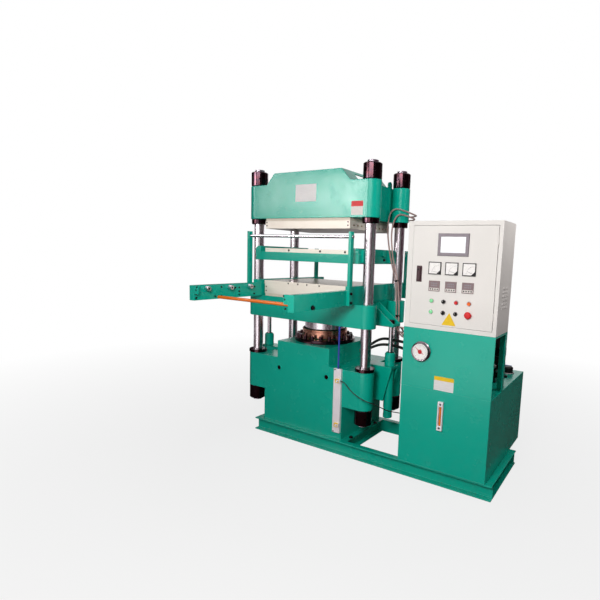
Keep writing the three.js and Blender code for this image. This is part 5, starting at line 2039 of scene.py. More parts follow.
@dataclass(frozen=True)
class Rails:
    """Rails for the sliding plate, with posts, stop tabs, rollers and the two cross bars."""

    rail_inner: float = 0.420
    roller_radius: float = 0.0187
    roller_level: float = 1.210
    roller_places: Three = (-0.876, -0.662, -0.461)
    guard: Three = (0.012, -0.392, 1.605)
    tie: Three = (0.0117, -0.763, 1.144)
    inner_screws: tuple[tuple[float, float], ...] = (
        (-0.960, 1.150), (-0.960, 1.172), (-0.960, 1.194), (-0.960, 1.216), (-0.795, 1.150),
        (-0.735, 1.216), (-0.735, 1.150), (-0.600, 1.205), (-0.560, 1.175), (-0.560, 1.150),
        (-0.560, 1.205), (-0.400, 1.205), (-0.400, 1.150),
    )
    post_screws: tuple[tuple[float, float], ...] = (
        (-0.392, 1.150), (-0.392, 1.215), (0.496, 1.150), (0.496, 1.215)
    )
    stop_screws: tuple[tuple[float, float], ...] = ((0.388, 1.226), (0.396, 1.205), (0.402, 1.150))

    def build(self) -> None:
        """Build both rails, their rollers and the bars."""
        for side, name in ((-1, "left"), (1, "right")):
            self.build_rail(side, name)
            self.build_rollers(side, name)
        self.build_bar("front_guard_bar", "guard_rod", self.guard, Look.CHROME)
        self.build_bar("tie_bar", "tie_rod", self.tie, Look.ORANGE)

    def build_rail(self, side: int, name: str) -> None:
        """Build one rail with its screws.

        Args:
            side: -1 for the left, 1 for the right.
            name: Which side it is.
        """
        node = f"side_rail_{name}"
        rail = Workpiece.enamelled(node, 0.002)
        rail.mounted(f"rail_{name}", "platform", node)
        inward, outward = (RIGHT, LEFT) if side < 0 else (LEFT, RIGHT)
        inner = [at(side * self.rail_inner, y, z) for y, z in self.inner_screws]
        screws = screw_head(0.0065, 0.005).repeated(facing(inner, inward))
        screws.mounted(f"rail_{name}_inner_screws", "platform")
        pivot = at(side * 0.465, -0.799, 1.148)
        bolt = hexagon_head(0.016, 0.012, Look.BLACKENED).repeated(facing([pivot], outward))
        pins = [at(side * 0.465, y, self.roller_level) for y in self.roller_places]
        rivets = round_head(0.0055, 0.0018, Look.GREEN).repeated(facing(pins, outward))
        bolt.joined(rivets).mounted(f"rail_{name}_bolts", "platform")
        post = [at(side * 0.487, y, z) for y, z in self.post_screws]
        screw_head(0.010, 0.009).repeated(facing(post, outward)).mounted(f"post_{name}_screws", "platform")
        tab = [at(side * x, -0.9785, z) for x, z in self.stop_screws]
        screw_head(0.006, 0.0045).repeated(facing(tab, FRONT)).mounted(f"stop_{name}_screws", "platform")

    def build_rollers(self, side: int, name: str) -> None:
        """Turn the three rollers of one rail with their pins.

        Args:
            side: -1 for the left, 1 for the right.
            name: Which side it is.
        """
        radius = self.roller_radius
        for number in (1, 2, 3):
            node = f"roller_{name}_{number}"
            box = Extent.of(node)
            start = Vector((box.low.x, box.centre.y, box.centre.z))
            width = box.size.x
            profile = (
                (radius - 0.003, 0), (radius - 0.0008, 0.0015), (radius, 0.004), (radius, width - 0.004),
                (radius - 0.0008, width - 0.0015), (radius - 0.003, width),
            )
            roller = Workpiece.turned(profile, start, RIGHT, 64).finished(Look.CHROME).smooth(25)
            inner, inward = (box.high.x, RIGHT) if side < 0 else (box.low.x, LEFT)
            face = Vector((inner, box.centre.y, box.centre.z))
            hub = round_head(0.0075, 0.003, Look.BLACKENED).stood(face, inward)
            roller.joined(hub).mounted(f"chromed_{node}", node, node)

    def build_bar(self, node: str, name: str, sizes: Three, look: Look) -> None:
        """Turn a round bar from one rail to the other.

        Args:
            node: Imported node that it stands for.
            name: Its name.
            sizes: Its radius, its depth from the ram's axis and its height.
            look: Its finish.
        """
        box = Extent.of(node)
        radius, y, level = sizes
        depth = at(0, y, 0).y
        start, end = Vector((box.low.x, depth, level)), Vector((box.high.x, depth, level))
        Workpiece.rod(start, end, radius, 48, 0.002).finished(look).smooth(25).mounted(name, "platform", node)


@dataclass(frozen=True)
class TravelSensor:
    """Slotted profile with two switches, and the bar that trips them."""

    clamp_levels: tuple[float, float] = (0.2187, 0.5568)
    switch_size: Three = (0.0348, 0.0162, 0.0268)

    def build(self) -> None:
        """Build the profile, its switches and the bar."""
        profile = Extent.of("sensor_profile")
        rail = Workpiece.copied("sensor_profile").finished(Look.ALUMINIUM).eased(0.0008, clamped=False)
        rail.mounted("slotted_profile", "press_frame", "sensor_profile")
        for index, level in enumerate(self.clamp_levels):
            self.build_switch(profile, level, index)
        bar = Workpiece.copied("trigger_bar").finished(Look.BLUE).eased(0.0008)
        bar.mounted("trip_bar", "platform", "trigger_bar")
        corner = profile.low + Vector((0.010, 0.015, 0))
        places = [Vector((corner.x, corner.y, profile.at(0, 0, share).z)) for share in (0.015, 0.985)]
        screw_head(0.005, 0.004).repeated(facing(places, FRONT)).mounted("profile_screws", "press_frame")

    def build_switch(self, profile: Extent, level: float, index: int) -> None:
        """Build one switch on its clamp.

        Args:
            profile: Box of the profile.
            level: Height of its middle.
            index: Its number from below.
        """
        middle = Vector((profile.low.x + 0.040, profile.low.y + 0.0078, level))
        case = Workpiece.block(Extent.around(middle, self.switch_size)).sunk(on_front, 0.004, 0.0006)
        case.finished(Look.YELLOW).eased(0.0015)
        face = middle - Vector((0, self.switch_size[1] / 2 - 0.0006, 0))
        lamp = round_head(0.0025, 0.0012, Look.RED).stood(face + Vector((-0.008, 0, 0.005)), FRONT)
        screw = screw_head(0.0035, 0.0015).stood(face + Vector((0.008, 0, -0.003)), FRONT)
        case.joined(lamp, screw).mounted(f"travel_switch_{index + 1}", "press_frame")


@dataclass(frozen=True)
class OilTank:
    """Oil tank with its hatch, level gauge, breather, pump set and valves."""

    hatch_height: float = 0.27
    hatch_width: float = 0.30
    glass_radius: float = 0.0065
    motor_height: float = 0.110
    motor_radius: float = 0.085
    motor_feet: tuple[float, float] = (-0.075, -0.265)
    fin_count: int = 28

    def build(self) -> None:
        """Build the tank and what is mounted on it."""
        box = Extent.of("oil_tank")
        wide = self.hatch_width + 0.016
        middle = Vector((box.centre.x, box.high.y, box.low.z + self.hatch_height))
        pocket = Extent.around(middle, (wide, 0.017, wide))
        tank = Workpiece.copied("oil_tank").cut(Workpiece.block(pocket))
        tank.finished(Look.GREEN, Look.GREEN_EDGE).eased(0.004, 3)
        tank.mounted("oil_tank_shell", "press_frame", "oil_tank")
        seam = bead(outline(box.shrunk(0.002, 0.002, 0), box.high.z - 0.004), 0.002, closed=True)
        seam.mounted("tank_top_seam", "press_frame")
        self.build_hatch()
        self.build_level_gauge()
        self.build_breather()
        self.build_pump_set()
        self.build_valves()
        self.build_stack()
        self.build_ball_valve()

    def build_hatch(self) -> None:
        """Bolt the cleaning hatch into the pocket in the tank's back."""
        box = Extent.of("oil_tank")
        middle = Vector((box.centre.x, box.high.y - 0.006, box.low.z + self.hatch_height))
        lid = Workpiece.block(Extent.around(middle, (self.hatch_width, 0.006, self.hatch_width)))
        lid.finished(Look.GREEN, Look.GREEN_EDGE).eased(0.001)
        steps = (-0.135, 0, 0.135)
        bolts = [middle + Vector((x, 0.003, z)) for x, z in product(steps, steps) if x or z]
        head = Workpiece.turned(((0.008, 0), (0.008, 0.0018), (0.0074, 0.0021)), Vector(), sides=6)
        lid.joined(head.finished(Look.ZINC).smooth().repeated(facing(bolts, BACK)))
        lid.mounted("tank_hatch", "press_frame")

    def build_level_gauge(self) -> None:
        """Build the level gauge: two chromed ends, its frame and the glass."""
        box = Extent.of("oil_level_gauge")
        body = Workpiece.block(box)
        left, right, back = box.low.x + 0.0085, box.high.x - 0.0085, box.high.y - 0.005
        low, high = box.at(0, 0, 0.17).z, box.at(0, 0, 0.83).z
        body.cut(Workpiece.cuboid((left, box.low.y - 0.01, low), (right, back, high)))
        body.finished(Look.ALUMINIUM).eased(0.003, 3)
        sheet = Workpiece.cuboid((left + 0.0005, back - 0.0008, low), (right - 0.0005, back + 0.0002, high))
        sheet.finished(Look.PALE).eased(0.0002, 1)
        nuts = [box.at(0.5, 0, share) + Vector((0, 0.0035, 0)) for share in (0.09, 0.91)]
        nut = Workpiece.turned(((0.009, 0), (0.009, 0.0028), (0.0075, 0.0035)), Vector(), sides=6)
        body.joined(sheet, nut.finished(Look.ZINC).smooth().repeated(facing(nuts, FRONT)))
        body.mounted("level_gauge_frame", "press_frame", "oil_level_gauge")
        foot, head = box.at(0.5, 0.45, 0.17), box.at(0.5, 0.45, 0.83)
        glass = Workpiece.rod(foot, head, self.glass_radius, 32).finished(Look.GLASS).smooth()
        glass.mounted("level_gauge_glass", "press_frame", "oil_level_gauge")

    def build_breather(self) -> None:
        """Turn the breather's cap with its knurled skirt."""
        box = Extent.of("breather_cap")
        foot = Vector((box.centre.x, box.centre.y, box.low.z))
        radius = box.size.x / 2
        profile = ((radius, 0), (radius, 0.005), (radius - 0.002, 0.007), (0.030, 0.007))
        flange = Workpiece.turned(profile, foot, sides=64)
        profile = ((0.036, 0.008), (0.038, 0.010), (0.038, 0.040), (0.034, 0.048), (0.024, 0.052))
        cap = Workpiece.turned(profile, foot, sides=48)
        cap.sunk(
            lambda middle, normal: abs(normal.z) < 0.1 and 0.02 < middle.z - foot.z < 0.035, 0.0012, 0.0012
        )
        flange.finished(Look.ZINC).smooth(25).joined(cap.finished(Look.BLACK).smooth(20))
        places = around(foot + Vector((0, 0, 0.007)), radius - 0.005, 6, 30)
        flange.joined(screw_head(0.003, 0.003).repeated(places))
        flange.mounted("breather", "press_frame", "breather_cap")

    def build_pump_set(self) -> None:
        """Build the motor with its fins, the bell housing and the pump."""
        box = Extent.of("pump_motor")
        axis = Vector((box.high.x, box.at(0, 0.5, 0).y, box.low.z + self.motor_height))
        radius = self.motor_radius
        near, far = radius - 0.010, radius - 0.008
        case = Workpiece.turned(((near, 0.045), (far, 0.047), (far, 0.292), (near, 0.295)), axis, LEFT, 64)
        fins = []
        for index in range(self.fin_count):
            angle = math.tau * index / self.fin_count
            fin = Workpiece.cuboid((-0.122, -0.0013, radius - 0.011), (0.122, 0.0013, radius - 0.0005))
            turn = Matrix.Rotation(math.atan2(-math.cos(angle), math.sin(angle)), 4, "X")
            fins.append(fin.moved(Matrix.Translation(axis + Vector((-0.170, 0, 0))) @ turn))
        fin_set = together(fins).finished(Look.MOTOR).eased(0.0006, 1)
        profile = ((0.060, 0), (0.070, 0.002), (0.076, 0.008), (0.077, 0.014), (0.077, 0.045), (0.073, 0.046))
        cover = Workpiece.turned(profile, axis, LEFT, 72)
        mouths = around(axis + Vector((0.003, 0, 0)), 0.045, 12, 0, BACK, UP)
        vents = [Workpiece.rod(mouth, mouth + 0.007 * LEFT, 0.0075, 12) for mouth in mouths]
        cover.cut(together(vents))
        x, y, foot, top = axis.x, axis.y, box.low.z, box.high.z
        terminal = Workpiece.cuboid((x - 0.220, y - 0.050, top - 0.058), (x - 0.120, y + 0.050, top))
        terminal.sunk(on_top, 0.006, -0.0001)
        feet = []
        for place in self.motor_feet:
            low, high = (x + place - 0.02, y - 0.120, foot), (x + place + 0.02, y + 0.120, foot + 0.012)
            feet.append(Workpiece.cuboid(low, high).finished(Look.MOTOR).eased(0.002))
        cradle = Workpiece.cuboid((x - 0.285, y - 0.045, foot + 0.002), (x - 0.055, y + 0.045, foot + 0.060))
        case.finished(Look.MOTOR).smooth(20)
        case.joined(
            fin_set, cover.finished(Look.MOTOR).smooth(25), terminal.finished(Look.MOTOR).eased(0.003, 2),
            *feet, cradle.finished(Look.MOTOR).eased(0.003)
        )
        spots = product(self.motor_feet, (-0.105, 0.105))
        bolts = [Vector((x + place, y + side, foot + 0.012)) for place, side in spots]
        case.joined(hexagon_head(0.010, 0.010).repeated(bolts))
        case.mounted("pump_motor_set", "press_frame", "pump_motor")
        self.build_pump(axis)

    def build_pump(self, axis: Vector) -> None:
        """Turn the bell housing with the pump behind it.

        Args:
            axis: Point on the motor's axis at its free end.
        """
        profile = (
            (0.078, 0.292), (0.082, 0.295), (0.082, 0.308), (0.060, 0.318), (0.0495, 0.322), (0.0495, 0.368),
            (0.046, 0.372), (0.046, 0.396), (0.030, 0.405),
        )
        bell = Workpiece.turned(profile, axis, LEFT, 64).finished(Look.BLACKENED).smooth(25)
        ring = around(axis + 0.308 * LEFT, 0.071, 6, 30, BACK, UP)
        bell.joined(screw_head(0.006, 0.006).repeated(facing(ring, LEFT)))
        bell.mounted("pump_and_bell", "press_frame", "pump_motor")

    def build_valves(self) -> None:
        """Build the valve block with its solenoids and ports."""
        box = Extent.of("valve_manifold")
        low, high, middle = box.low, box.high, box.centre
        core = Workpiece.cuboid((low.x + 0.070, low.y, low.z), (high.x - 0.070, high.y, high.z))
        core.finished(Look.BLACKENED).eased(0.002)
        profile = (
            (0.012, 0), (0.0195, 0.002), (0.0195, 0.052), (0.017, 0.055), (0.010, 0.056), (0.010, 0.070),
            (0.007, 0.072)
        )
        coils = []
        for direction, x in ((LEFT, low.x + 0.072), (RIGHT, high.x - 0.072)):
            foot = Vector((x, middle.y, middle.z))
            coil = Workpiece.turned(profile, foot, direction, 40).finished(Look.BLACK).smooth(25)
            plug = Workpiece.block(Extent.around(foot + 0.03 * direction + 0.026 * UP, (0.024, 0.024, 0.018)))
            coils += [coil, plug.finished(Look.PALE).eased(0.002)]
        spots = product((-0.045, 0.045), (-0.025, 0.025))
        places = [Vector((middle.x + x, middle.y + y, high.z - 0.002)) for x, y in spots]
        screws = screw_head(0.006, 0.002).repeated(places)
        core.joined(screws, *coils).mounted("valve_block", "press_frame", "valve_manifold")

    def build_stack(self) -> None:
        """Stand the tower of sandwich valves with its solenoid on the valve block."""
        box = Extent.of("valve_manifold")
        axis = Vector((box.at(0.72, 0, 0).x, box.centre.y, box.high.z))
        layers = (
            (0.0, 0.048, 0.112, Look.BLACKENED), (0.048, 0.094, 0.104, Look.BLACK),
            (0.094, 0.150, 0.112, Look.BLACKENED)
        )
        parts = []
        for low, high, wide, look in layers:
            half = wide / 2
            layer = Workpiece.cuboid(axis + Vector((-half, -0.034, low)), axis + Vector((half, 0.034, high)))
            parts.append(layer.finished(look).eased(0.002))
        profile = (
            (0.014, 0), (0.043, 0.002), (0.043, 0.078), (0.038, 0.082), (0.020, 0.083), (0.020, 0.100),
            (0.014, 0.104)
        )
        coil = Workpiece.turned(profile, axis + Vector((0, -0.010, 0.149)), sides=40)
        parts.append(coil.finished(Look.BLACK).smooth(25))
        plug = Workpiece.cuboid(axis + Vector((-0.016, -0.060, 0.160)), axis + Vector((0.016, -0.036, 0.196)))
        profile = ((0.014, 0), (0.0155, 0.0015), (0.0155, 0.014), (0.010, 0.016), (0.010, 0.028))
        fitting = Workpiece.turned(profile, axis + Vector((0, -0.034, 0.022)), FRONT, 6)
        parts += [plug.finished(Look.BLACK).eased(0.003), fitting.finished(Look.ZINC).eased(0.0006, 1)]
        together(parts).mounted("valve_stack", "press_frame")

    def build_ball_valve(self) -> None:
        """Stand the small ball valve with its blue handle at the tank's rear corner."""
        box = Extent.of("oil_tank")
        foot = Vector((box.high.x - 0.125, box.high.y - 0.053, box.high.z))
        profile = (
            (0.013, 0), (0.013, 0.010), (0.009, 0.012), (0.009, 0.018), (0.012, 0.020), (0.012, 0.032),
            (0.006, 0.034), (0.006, 0.040),
        )
        stem = Workpiece.turned(profile, foot, sides=32)
        handle = Workpiece.cuboid(
            foot + Vector((-0.010, -0.006, 0.038)), foot + Vector((0.045, 0.006, 0.043))
        )
        handle.finished(Look.BLUE_CAP).eased(0.0018)
        stem.finished(Look.BRASS).smooth(25).joined(handle).mounted("ball_valve", "press_frame")


@dataclass(frozen=True)
class CabinetStand:
    """Folded stand between the tank and the electric box, with the pressure gauge in its front."""

    sheet: float = 0.010
    post_leg: float = 0.042
    post_sheet: float = 0.006
    floor: float = 0.012
    plate: Four = (1.111, 1.242, 0.640, 0.731)
    glands: Route = ((0.879, -0.306, 1.010), (0.879, -0.300, 0.968), (0.879, -0.106, 0.738))

    def build(self) -> None:
        """Build the stand, its bare plate, the gauge and the glands."""
        box = Extent.of("cabinet_stand")
        low, high, sheet, leg = box.low, box.high, self.sheet, self.post_leg
        sheets = (
            Extent(low, Vector((high.x, low.y + sheet, high.z))),
            Extent(low, Vector((low.x + sheet, high.y, high.z))),
            Extent(Vector((high.x - leg, high.y - self.post_sheet, low.z)), high),
            Extent(Vector((high.x - self.post_sheet, high.y - leg, low.z)), high),
            Extent(Vector((low.x, low.y, high.z - self.floor)), high),
        )
        stand = Workpiece.block(sheets[0])
        for sheet_box in sheets[1:]:
            stand.fused(Workpiece.block(sheet_box))
        stand.finished(Look.GREEN, Look.GREEN_EDGE).eased(0.0015, 2)
        stand.mounted("folded_stand", "press_frame", "cabinet_stand")
        self.build_plate()
        self.build_gauge()
        self.build_glands()

    def build_glands(self) -> None:
        """Screw a gland into the stand's left side for each cord."""
        profile = ((0.012, 0), (0.012, 0.004), (0.0105, 0.005), (0.0105, 0.009), (0.0085, 0.011))
        gland = Workpiece.turned(profile, Vector(), sides=20).finished(Look.BLACK).smooth(25)
        places = [at(*place) for place in self.glands]
        gland.repeated(facing(places, LEFT)).mounted("cable_glands", "press_frame")

    def build_plate(self) -> None:
        """Stick the bare plate with its coloured band on the stand's front."""
        left, right, low, high = self.plate
        front = Extent.of("cabinet_stand").low.y
        split = low + 0.72 * (high - low)
        parts = []
        for foot, top, look in ((low, split, Look.PLATE), (split, high, Look.YELLOW)):
            corner = (at(left, 0, 0).x, front - 0.0006, foot)
            part = Workpiece.cuboid(corner, (at(right, 0, 0).x, front + 0.0004, top))
            parts.append(part.finished(look).eased(0.0002, 1))
        together(parts).mounted("bare_stand_plate", "press_frame")

    def build_gauge(self) -> None:
        """Build the pressure gauge: case, rim, dial with its marks, needles and glass boss."""
        box = Extent.of("pressure_gauge")
        radius = box.size.x / 2
        centre = Vector((box.centre.x, box.high.y, box.centre.z))
        face = radius - 0.0125
        profile = (
            (radius - 0.002, 0), (radius, 0.002), (radius, 0.006), (radius - 0.006, 0.009),
            (radius - 0.006, 0.024), (radius - 0.004, 0.028), (radius - 0.007, 0.030),
            (radius - 0.011, 0.029), (radius - 0.012, 0.025), (0.001, 0.025),
        )
        case = Workpiece.turned(profile, centre, FRONT, 96).finished(Look.RIM).smooth(25)
        dial = Workpiece.turned(((face, 0.0245), (face, 0.0258), (face - 0.0005, 0.0260)), centre, FRONT, 80)
        case.joined(dial.finished(Look.DIAL).smooth(25))
        marks = []
        for index in range(31):
            start = 0.042 if index % 5 else 0.038
            mark = Workpiece.cuboid((-0.0006, -0.0003, start), (0.0006, 0.0001, 0.047))
            turn = Matrix.Rotation(math.radians(-135 + 9 * index), 4, "Y")
            marks.append(mark.moved(Matrix.Translation(centre + Vector((0, -0.0261, 0))) @ turn))
        case.joined(together(marks).finished(Look.INK_AND_SHADE).eased(0.0001, 1))
        for angle, length, look in (
            (-52, 0.040, Look.NEEDLE), (118, 0.030, Look.NEEDLE), (20, 0.018, Look.INK_AND_SHADE)
        ):
            needle = Workpiece.cuboid((-0.0042, -0.0012, -0.014), (0.0042, 0.0, length))
            needle.tapered(on_top, (0.2, 1, 1), Vector((0, 0, length)))
            turn = Matrix.Rotation(math.radians(angle), 4, "Y")
            needle.moved(Matrix.Translation(centre + Vector((0, -0.0268, 0))) @ turn)
            case.joined(needle.finished(look).eased(0.0003, 1))
        hub = round_head(0.0145, 0.002, Look.NEEDLE).stood(centre + Vector((0, -0.0278, 0)), FRONT)
        screws = around(centre + Vector((0, -0.0072, 0)), radius - 0.0032, 3, 60, RIGHT, UP)
        case.joined(hub, round_head(0.0028, 0.0015, Look.ZINC).repeated(facing(screws, FRONT)))
        case.mounted("pressure_dial", "press_frame", "pressure_gauge")


@dataclass(frozen=True)
class ElectricBox:
    """Cream electric box with louvres, and the devices on its mounting plate."""

    louvre_levels: tuple[float, ...] = (1.190, 1.214, 1.238, 1.262, 1.286, 1.310)
    louvre_places: tuple[float, float] = (-0.225, -0.155)
    louvre_size: tuple[float, float] = (0.056, 0.012)
    louvre_proud: float = 0.0035
    rail_levels: Three = (1.1812, 1.3695, 1.5578)
    first_device: float = 0.9646
    device_pitch: float = 0.0952
    device_count: int = 5

    def build(self) -> None:
        """Build the shell, the louvres and what hangs inside."""
        shell = Workpiece.copied("electric_box").finished(Look.CREAM, Look.CREAM_EDGE).eased(0.002, 2)
        shell.mounted("box_shell", "press_frame", "electric_box")
        self.build_louvres()
        self.build_gasket()
        self.build_devices()

    def build_louvres(self) -> None:
        """Press hooded slots into both sides of the box."""
        box = Extent.of("electric_box")
        width, tall = self.louvre_size
        hood = Workpiece.cuboid((-width / 2, 0, -0.0005), (width / 2, tall, self.louvre_proud))
        hood.tapered(lambda middle, normal: normal.y > 0.9, (0.86, 1, 0.25), Vector((0, 0, -0.0005)))
        hood.sunk(on_front, 0.0007, 0.006)
        hood.finished(Look.CREAM, Look.CREAM_EDGE).eased(0.0008, 2)
        # The slot's sunk back face gets the dark ink colour as painted shade.
        hood.painted(Look.INK_AND_SHADE, lambda middle, normal: middle.y > 0.004 and normal.y < -0.9)
        moves = []
        for x, turn in ((box.high.x, 1), (box.low.x, -1)):
            axes = Matrix(((0, 0, turn), (turn, 0, 0), (0, 1, 0))).to_4x4()
            moves += [
                Matrix.Translation(Vector((x, RAM.centre.y + y, z))) @ axes
                for y, z in product(self.louvre_places, self.louvre_levels)
            ]
        hood.repeated(moves).mounted("box_louvres", "press_frame")

    def build_gasket(self) -> None:
        """Run the rubber seal round the door's opening."""
        door = Extent.of("box_door")
        level = Extent.of("electric_box").low.y + 0.0102
        left, right = door.low.x + 0.018, door.low.x + BoxDoor.width - 0.018
        low, high = door.low.z + 0.018, door.high.z - 0.018
        route = [Vector((x, level, z)) for x, z in ((left, low), (right, low), (right, high), (left, high))]
        stops = [
            start.lerp(end, step / 4) for start, end in pairwise([*route, route[0]]) for step in range(4)
        ]
        seal = Workpiece.tube(stops, 0.0022, 4, True, 0.02)
        seal.finished(Look.RUBBER).smooth(50).mounted("door_seal", "press_frame")

    def build_devices(self) -> None:
        """Mount breakers and contactors on rails in front of the mounting plate."""
        box = Extent.of("mounting_plate")
        plate = Workpiece.cuboid((box.low.x, box.high.y - 0.006, box.low.z), box.high)
        plate.finished(Look.ZINC).eased(0.0008)
        plate.mounted("mounting_sheet", "press_frame", "mounting_plate")
        pieces = []
        front, back = box.low.y, box.high.y
        for row, level in enumerate(self.rail_levels):
            low = (box.low.x + 0.005, back - 0.018, level - 0.0165)
            rail = Workpiece.cuboid(low, (box.high.x - 0.005, back - 0.006, level + 0.0165))
            rail.sunk(on_front, 0.006, 0.008)
            pieces.append(rail.finished(Look.ZINC).eased(0.0006, 1))
            for column in range(self.device_count):
                left = at(self.first_device + self.device_pitch * column, 0, 0).x
                case = Workpiece.cuboid(
                    (left, front, level - 0.045), (left + 0.060, back - 0.012, level + 0.045)
                )
                case.tapered(on_front, (0.94, 1, 0.55), Vector((left + 0.03, front, level)))
                look = (Look.PALE, Look.BLACK, Look.BROWN)[(row + column) % 3]
                low = (left + 0.022, front - 0.0001, level - 0.012)
                toggle = Workpiece.cuboid(low, (left + 0.038, front + 0.006, level + 0.004))
                # Toggles of the lower rows take the green lens finish, whose faint glow is painted light on a
                # part that is no lamp.
                toggle.finished(Look.GREEN_LENS if row else Look.RED).eased(0.001)
                pieces += [case.finished(look).eased(0.0015), toggle]
                places = product(range(4), (-0.040, 0.040))
                terminals = [
                    Vector((left + 0.012 + 0.012 * index, front + 0.030, level + z)) for index, z in places
                ]
                pieces.append(round_head(0.003, 0.002, Look.BRASS).repeated(facing(terminals, FRONT)))
        together(pieces).mounted("switchgear", "press_frame", "mounting_plate")


@dataclass(frozen=True)
class BoxDoor:
    """Door of the electric box with its instruments, lamps, switches and handle."""

    width: float = 0.536
    panel_back: float = -0.325
    panel_front: float = -0.341
    columns: Four = (1.0624, 1.1434, 1.2244, 1.3054)
    rows: tuple[float, float] = (1.212, 1.142)
    stem_radius: float = 0.0084
    cap_radius: float = 0.0112
    meter_level: float = 1.4189
    meters: Three = (1.0739, 1.1839, 1.2939)
    meter_size: Three = (0.082, 0.009, 0.078)
    controller_level: float = 1.307
    controllers: Three = (1.0759, 1.1839, 1.2919)
    controller_size: Three = (0.072, 0.007, 0.065)
    sign: Four = (1.137, 1.231, 1.066, 1.146)

    def build(self) -> None:
        """Build the panel and everything in it."""
        self.build_panel()
        self.build_screen()
        for index, x in enumerate(self.meters):
            self.build_meter(x, index)
        for index, x in enumerate(self.controllers):
            self.build_controller(x, index)
        self.build_bezels()
        self.build_lamps()
        self.build_selectors()
        self.build_buttons()
        self.build_handle()
        self.build_sign()

    def front(self, x: float, z: float) -> Vector:
        """Point on the door's front face."""
        return at(x, self.panel_front, z)

    def build_panel(self) -> None:
        """Fold the door's panel, drill it for the buttons, and hang it on its hinges."""
        box = Extent.of("box_door")
        low = Vector((box.low.x, at(0, self.panel_front, 0).y, box.low.z))
        high = Vector((box.low.x + self.width, at(0, self.panel_back, 0).y, box.high.z))
        panel = Workpiece.cuboid(low, high)
        panel.sunk(lambda middle, normal: normal.y > 0.9, 0.016, 0.0125)
        right, last = self.columns[2:]
        upper, lower = self.rows
        holes = (
            (right, upper, self.cap_radius), (last, upper, self.cap_radius), (last, lower, self.stem_radius)
        )
        for x, z, radius in holes:
            middle = self.front(x, z)
            panel.cut(Workpiece.rod(middle + 0.01 * FRONT, middle + 0.03 * BACK, radius, 24))
        panel.finished(Look.CREAM, Look.CREAM_EDGE).eased(0.003, 3)
        panel.mounted("door_panel", "door", "box_door")
        hinges = []
        for share in (0.14, 0.86):
            foot = Vector((high.x, low.y, box.low.z + share * box.size.z - 0.023))
            pin = Workpiece.rod(foot, foot + Vector((0, 0, 0.046)), 0.0058, 32, 0.001)
            hinges.append(pin.finished(Look.CREAM).smooth(25))
        together(hinges).mounted("door_hinges", "door", "box_door")

    def build_screen(self) -> None:
        """Build the operator screen in its metal bezel."""
        box = Extent.of("hmi_screen")
        bezel = Workpiece.block(box)
        bezel.tapered(on_front, (0.97, 1, 0.957), box.at(0.5, 0, 0.5))
        bezel.sunk(on_front, 0.018, 0.003)
        bezel.finished(Look.BEZEL).eased(0.0012)
        low, high = box.low + Vector((0.0215, 0.0022, 0.0215)), box.high - Vector((0.0215, 0, 0.0215))
        glass = Workpiece.cuboid(low, (high.x, box.low.y + 0.004, high.z))
        glass.finished(Look.SCREEN).eased(0.0006, 2)
        bezel.joined(glass).mounted("operator_screen", "door", "hmi_screen")

    def build_meter(self, x: float, index: int) -> None:
        """Build one moving-coil meter: dark frame, white scale, needle and corner cover.

        Args:
            x: Its middle from the ram's axis.
            index: Its number from the left.
        """
        wide, deep, tall = self.meter_size
        front = self.front(x, self.meter_level)
        case = Workpiece.block(Extent.around(front - Vector((0, deep / 2, 0)), self.meter_size))
        case.sunk(on_front, 0.0035, 0.0012).finished(Look.BLACK).eased(0.0012)
        face = front - Vector((0, deep - 0.0014, 0))
        scale = Workpiece.block(Extent.around(face, (wide - 0.010, 0.0008, tall - 0.010)))
        scale.finished(Look.DIAL).eased(0.0003, 1)
        pivot = face + Vector((wide / 2 - 0.012, -0.0006, 0.012 - tall / 2))
        marks = []
        for step in range(11):
            mark = Workpiece.cuboid((-0.0005, -0.0002, 0.043), (0.0005, 0.0001, 0.048 if step % 5 else 0.050))
            turn = Matrix.Rotation(math.radians(-88 + 8.6 * step), 4, "Y")
            marks.append(mark.moved(Matrix.Translation(pivot) @ turn))
        needle = Workpiece.cuboid((-0.0006, -0.0006, 0), (0.0006, -0.0002, 0.044))
        turn = Matrix.Rotation(math.radians(-80 + 6 * index), 4, "Y")
        marks.append(needle.moved(Matrix.Translation(pivot) @ turn))
        ink = together(marks).finished(Look.INK_AND_SHADE).eased(0.0001, 1)
        corner = face + Vector((wide / 2 - 0.005, 0, 0.005 - tall / 2))
        cover = Workpiece.cuboid(corner + Vector((-0.022, -0.0012, 0)), corner + Vector((0, 0.0003, 0.022)))
        blade = Workpiece.cuboid(corner + Vector((-0.06, -0.01, 0.0155)), corner + Vector((0.03, 0.01, 0.05)))
        turn = Matrix.Rotation(math.radians(-45), 4, "Y")
        tilt = Matrix.Translation(corner) @ turn @ Matrix.Translation(-corner)
        cover.cut(blade.moved(tilt))
        hub = round_head(0.0032, 0.0006, Look.BLACK).stood(pivot + Vector((0, -0.0006, 0)), FRONT)
        case.joined(scale, ink, cover.finished(Look.BLACK).eased(0.0002, 1), hub)
        case.mounted(f"panel_meter_{index + 1}", "door", "box_door")

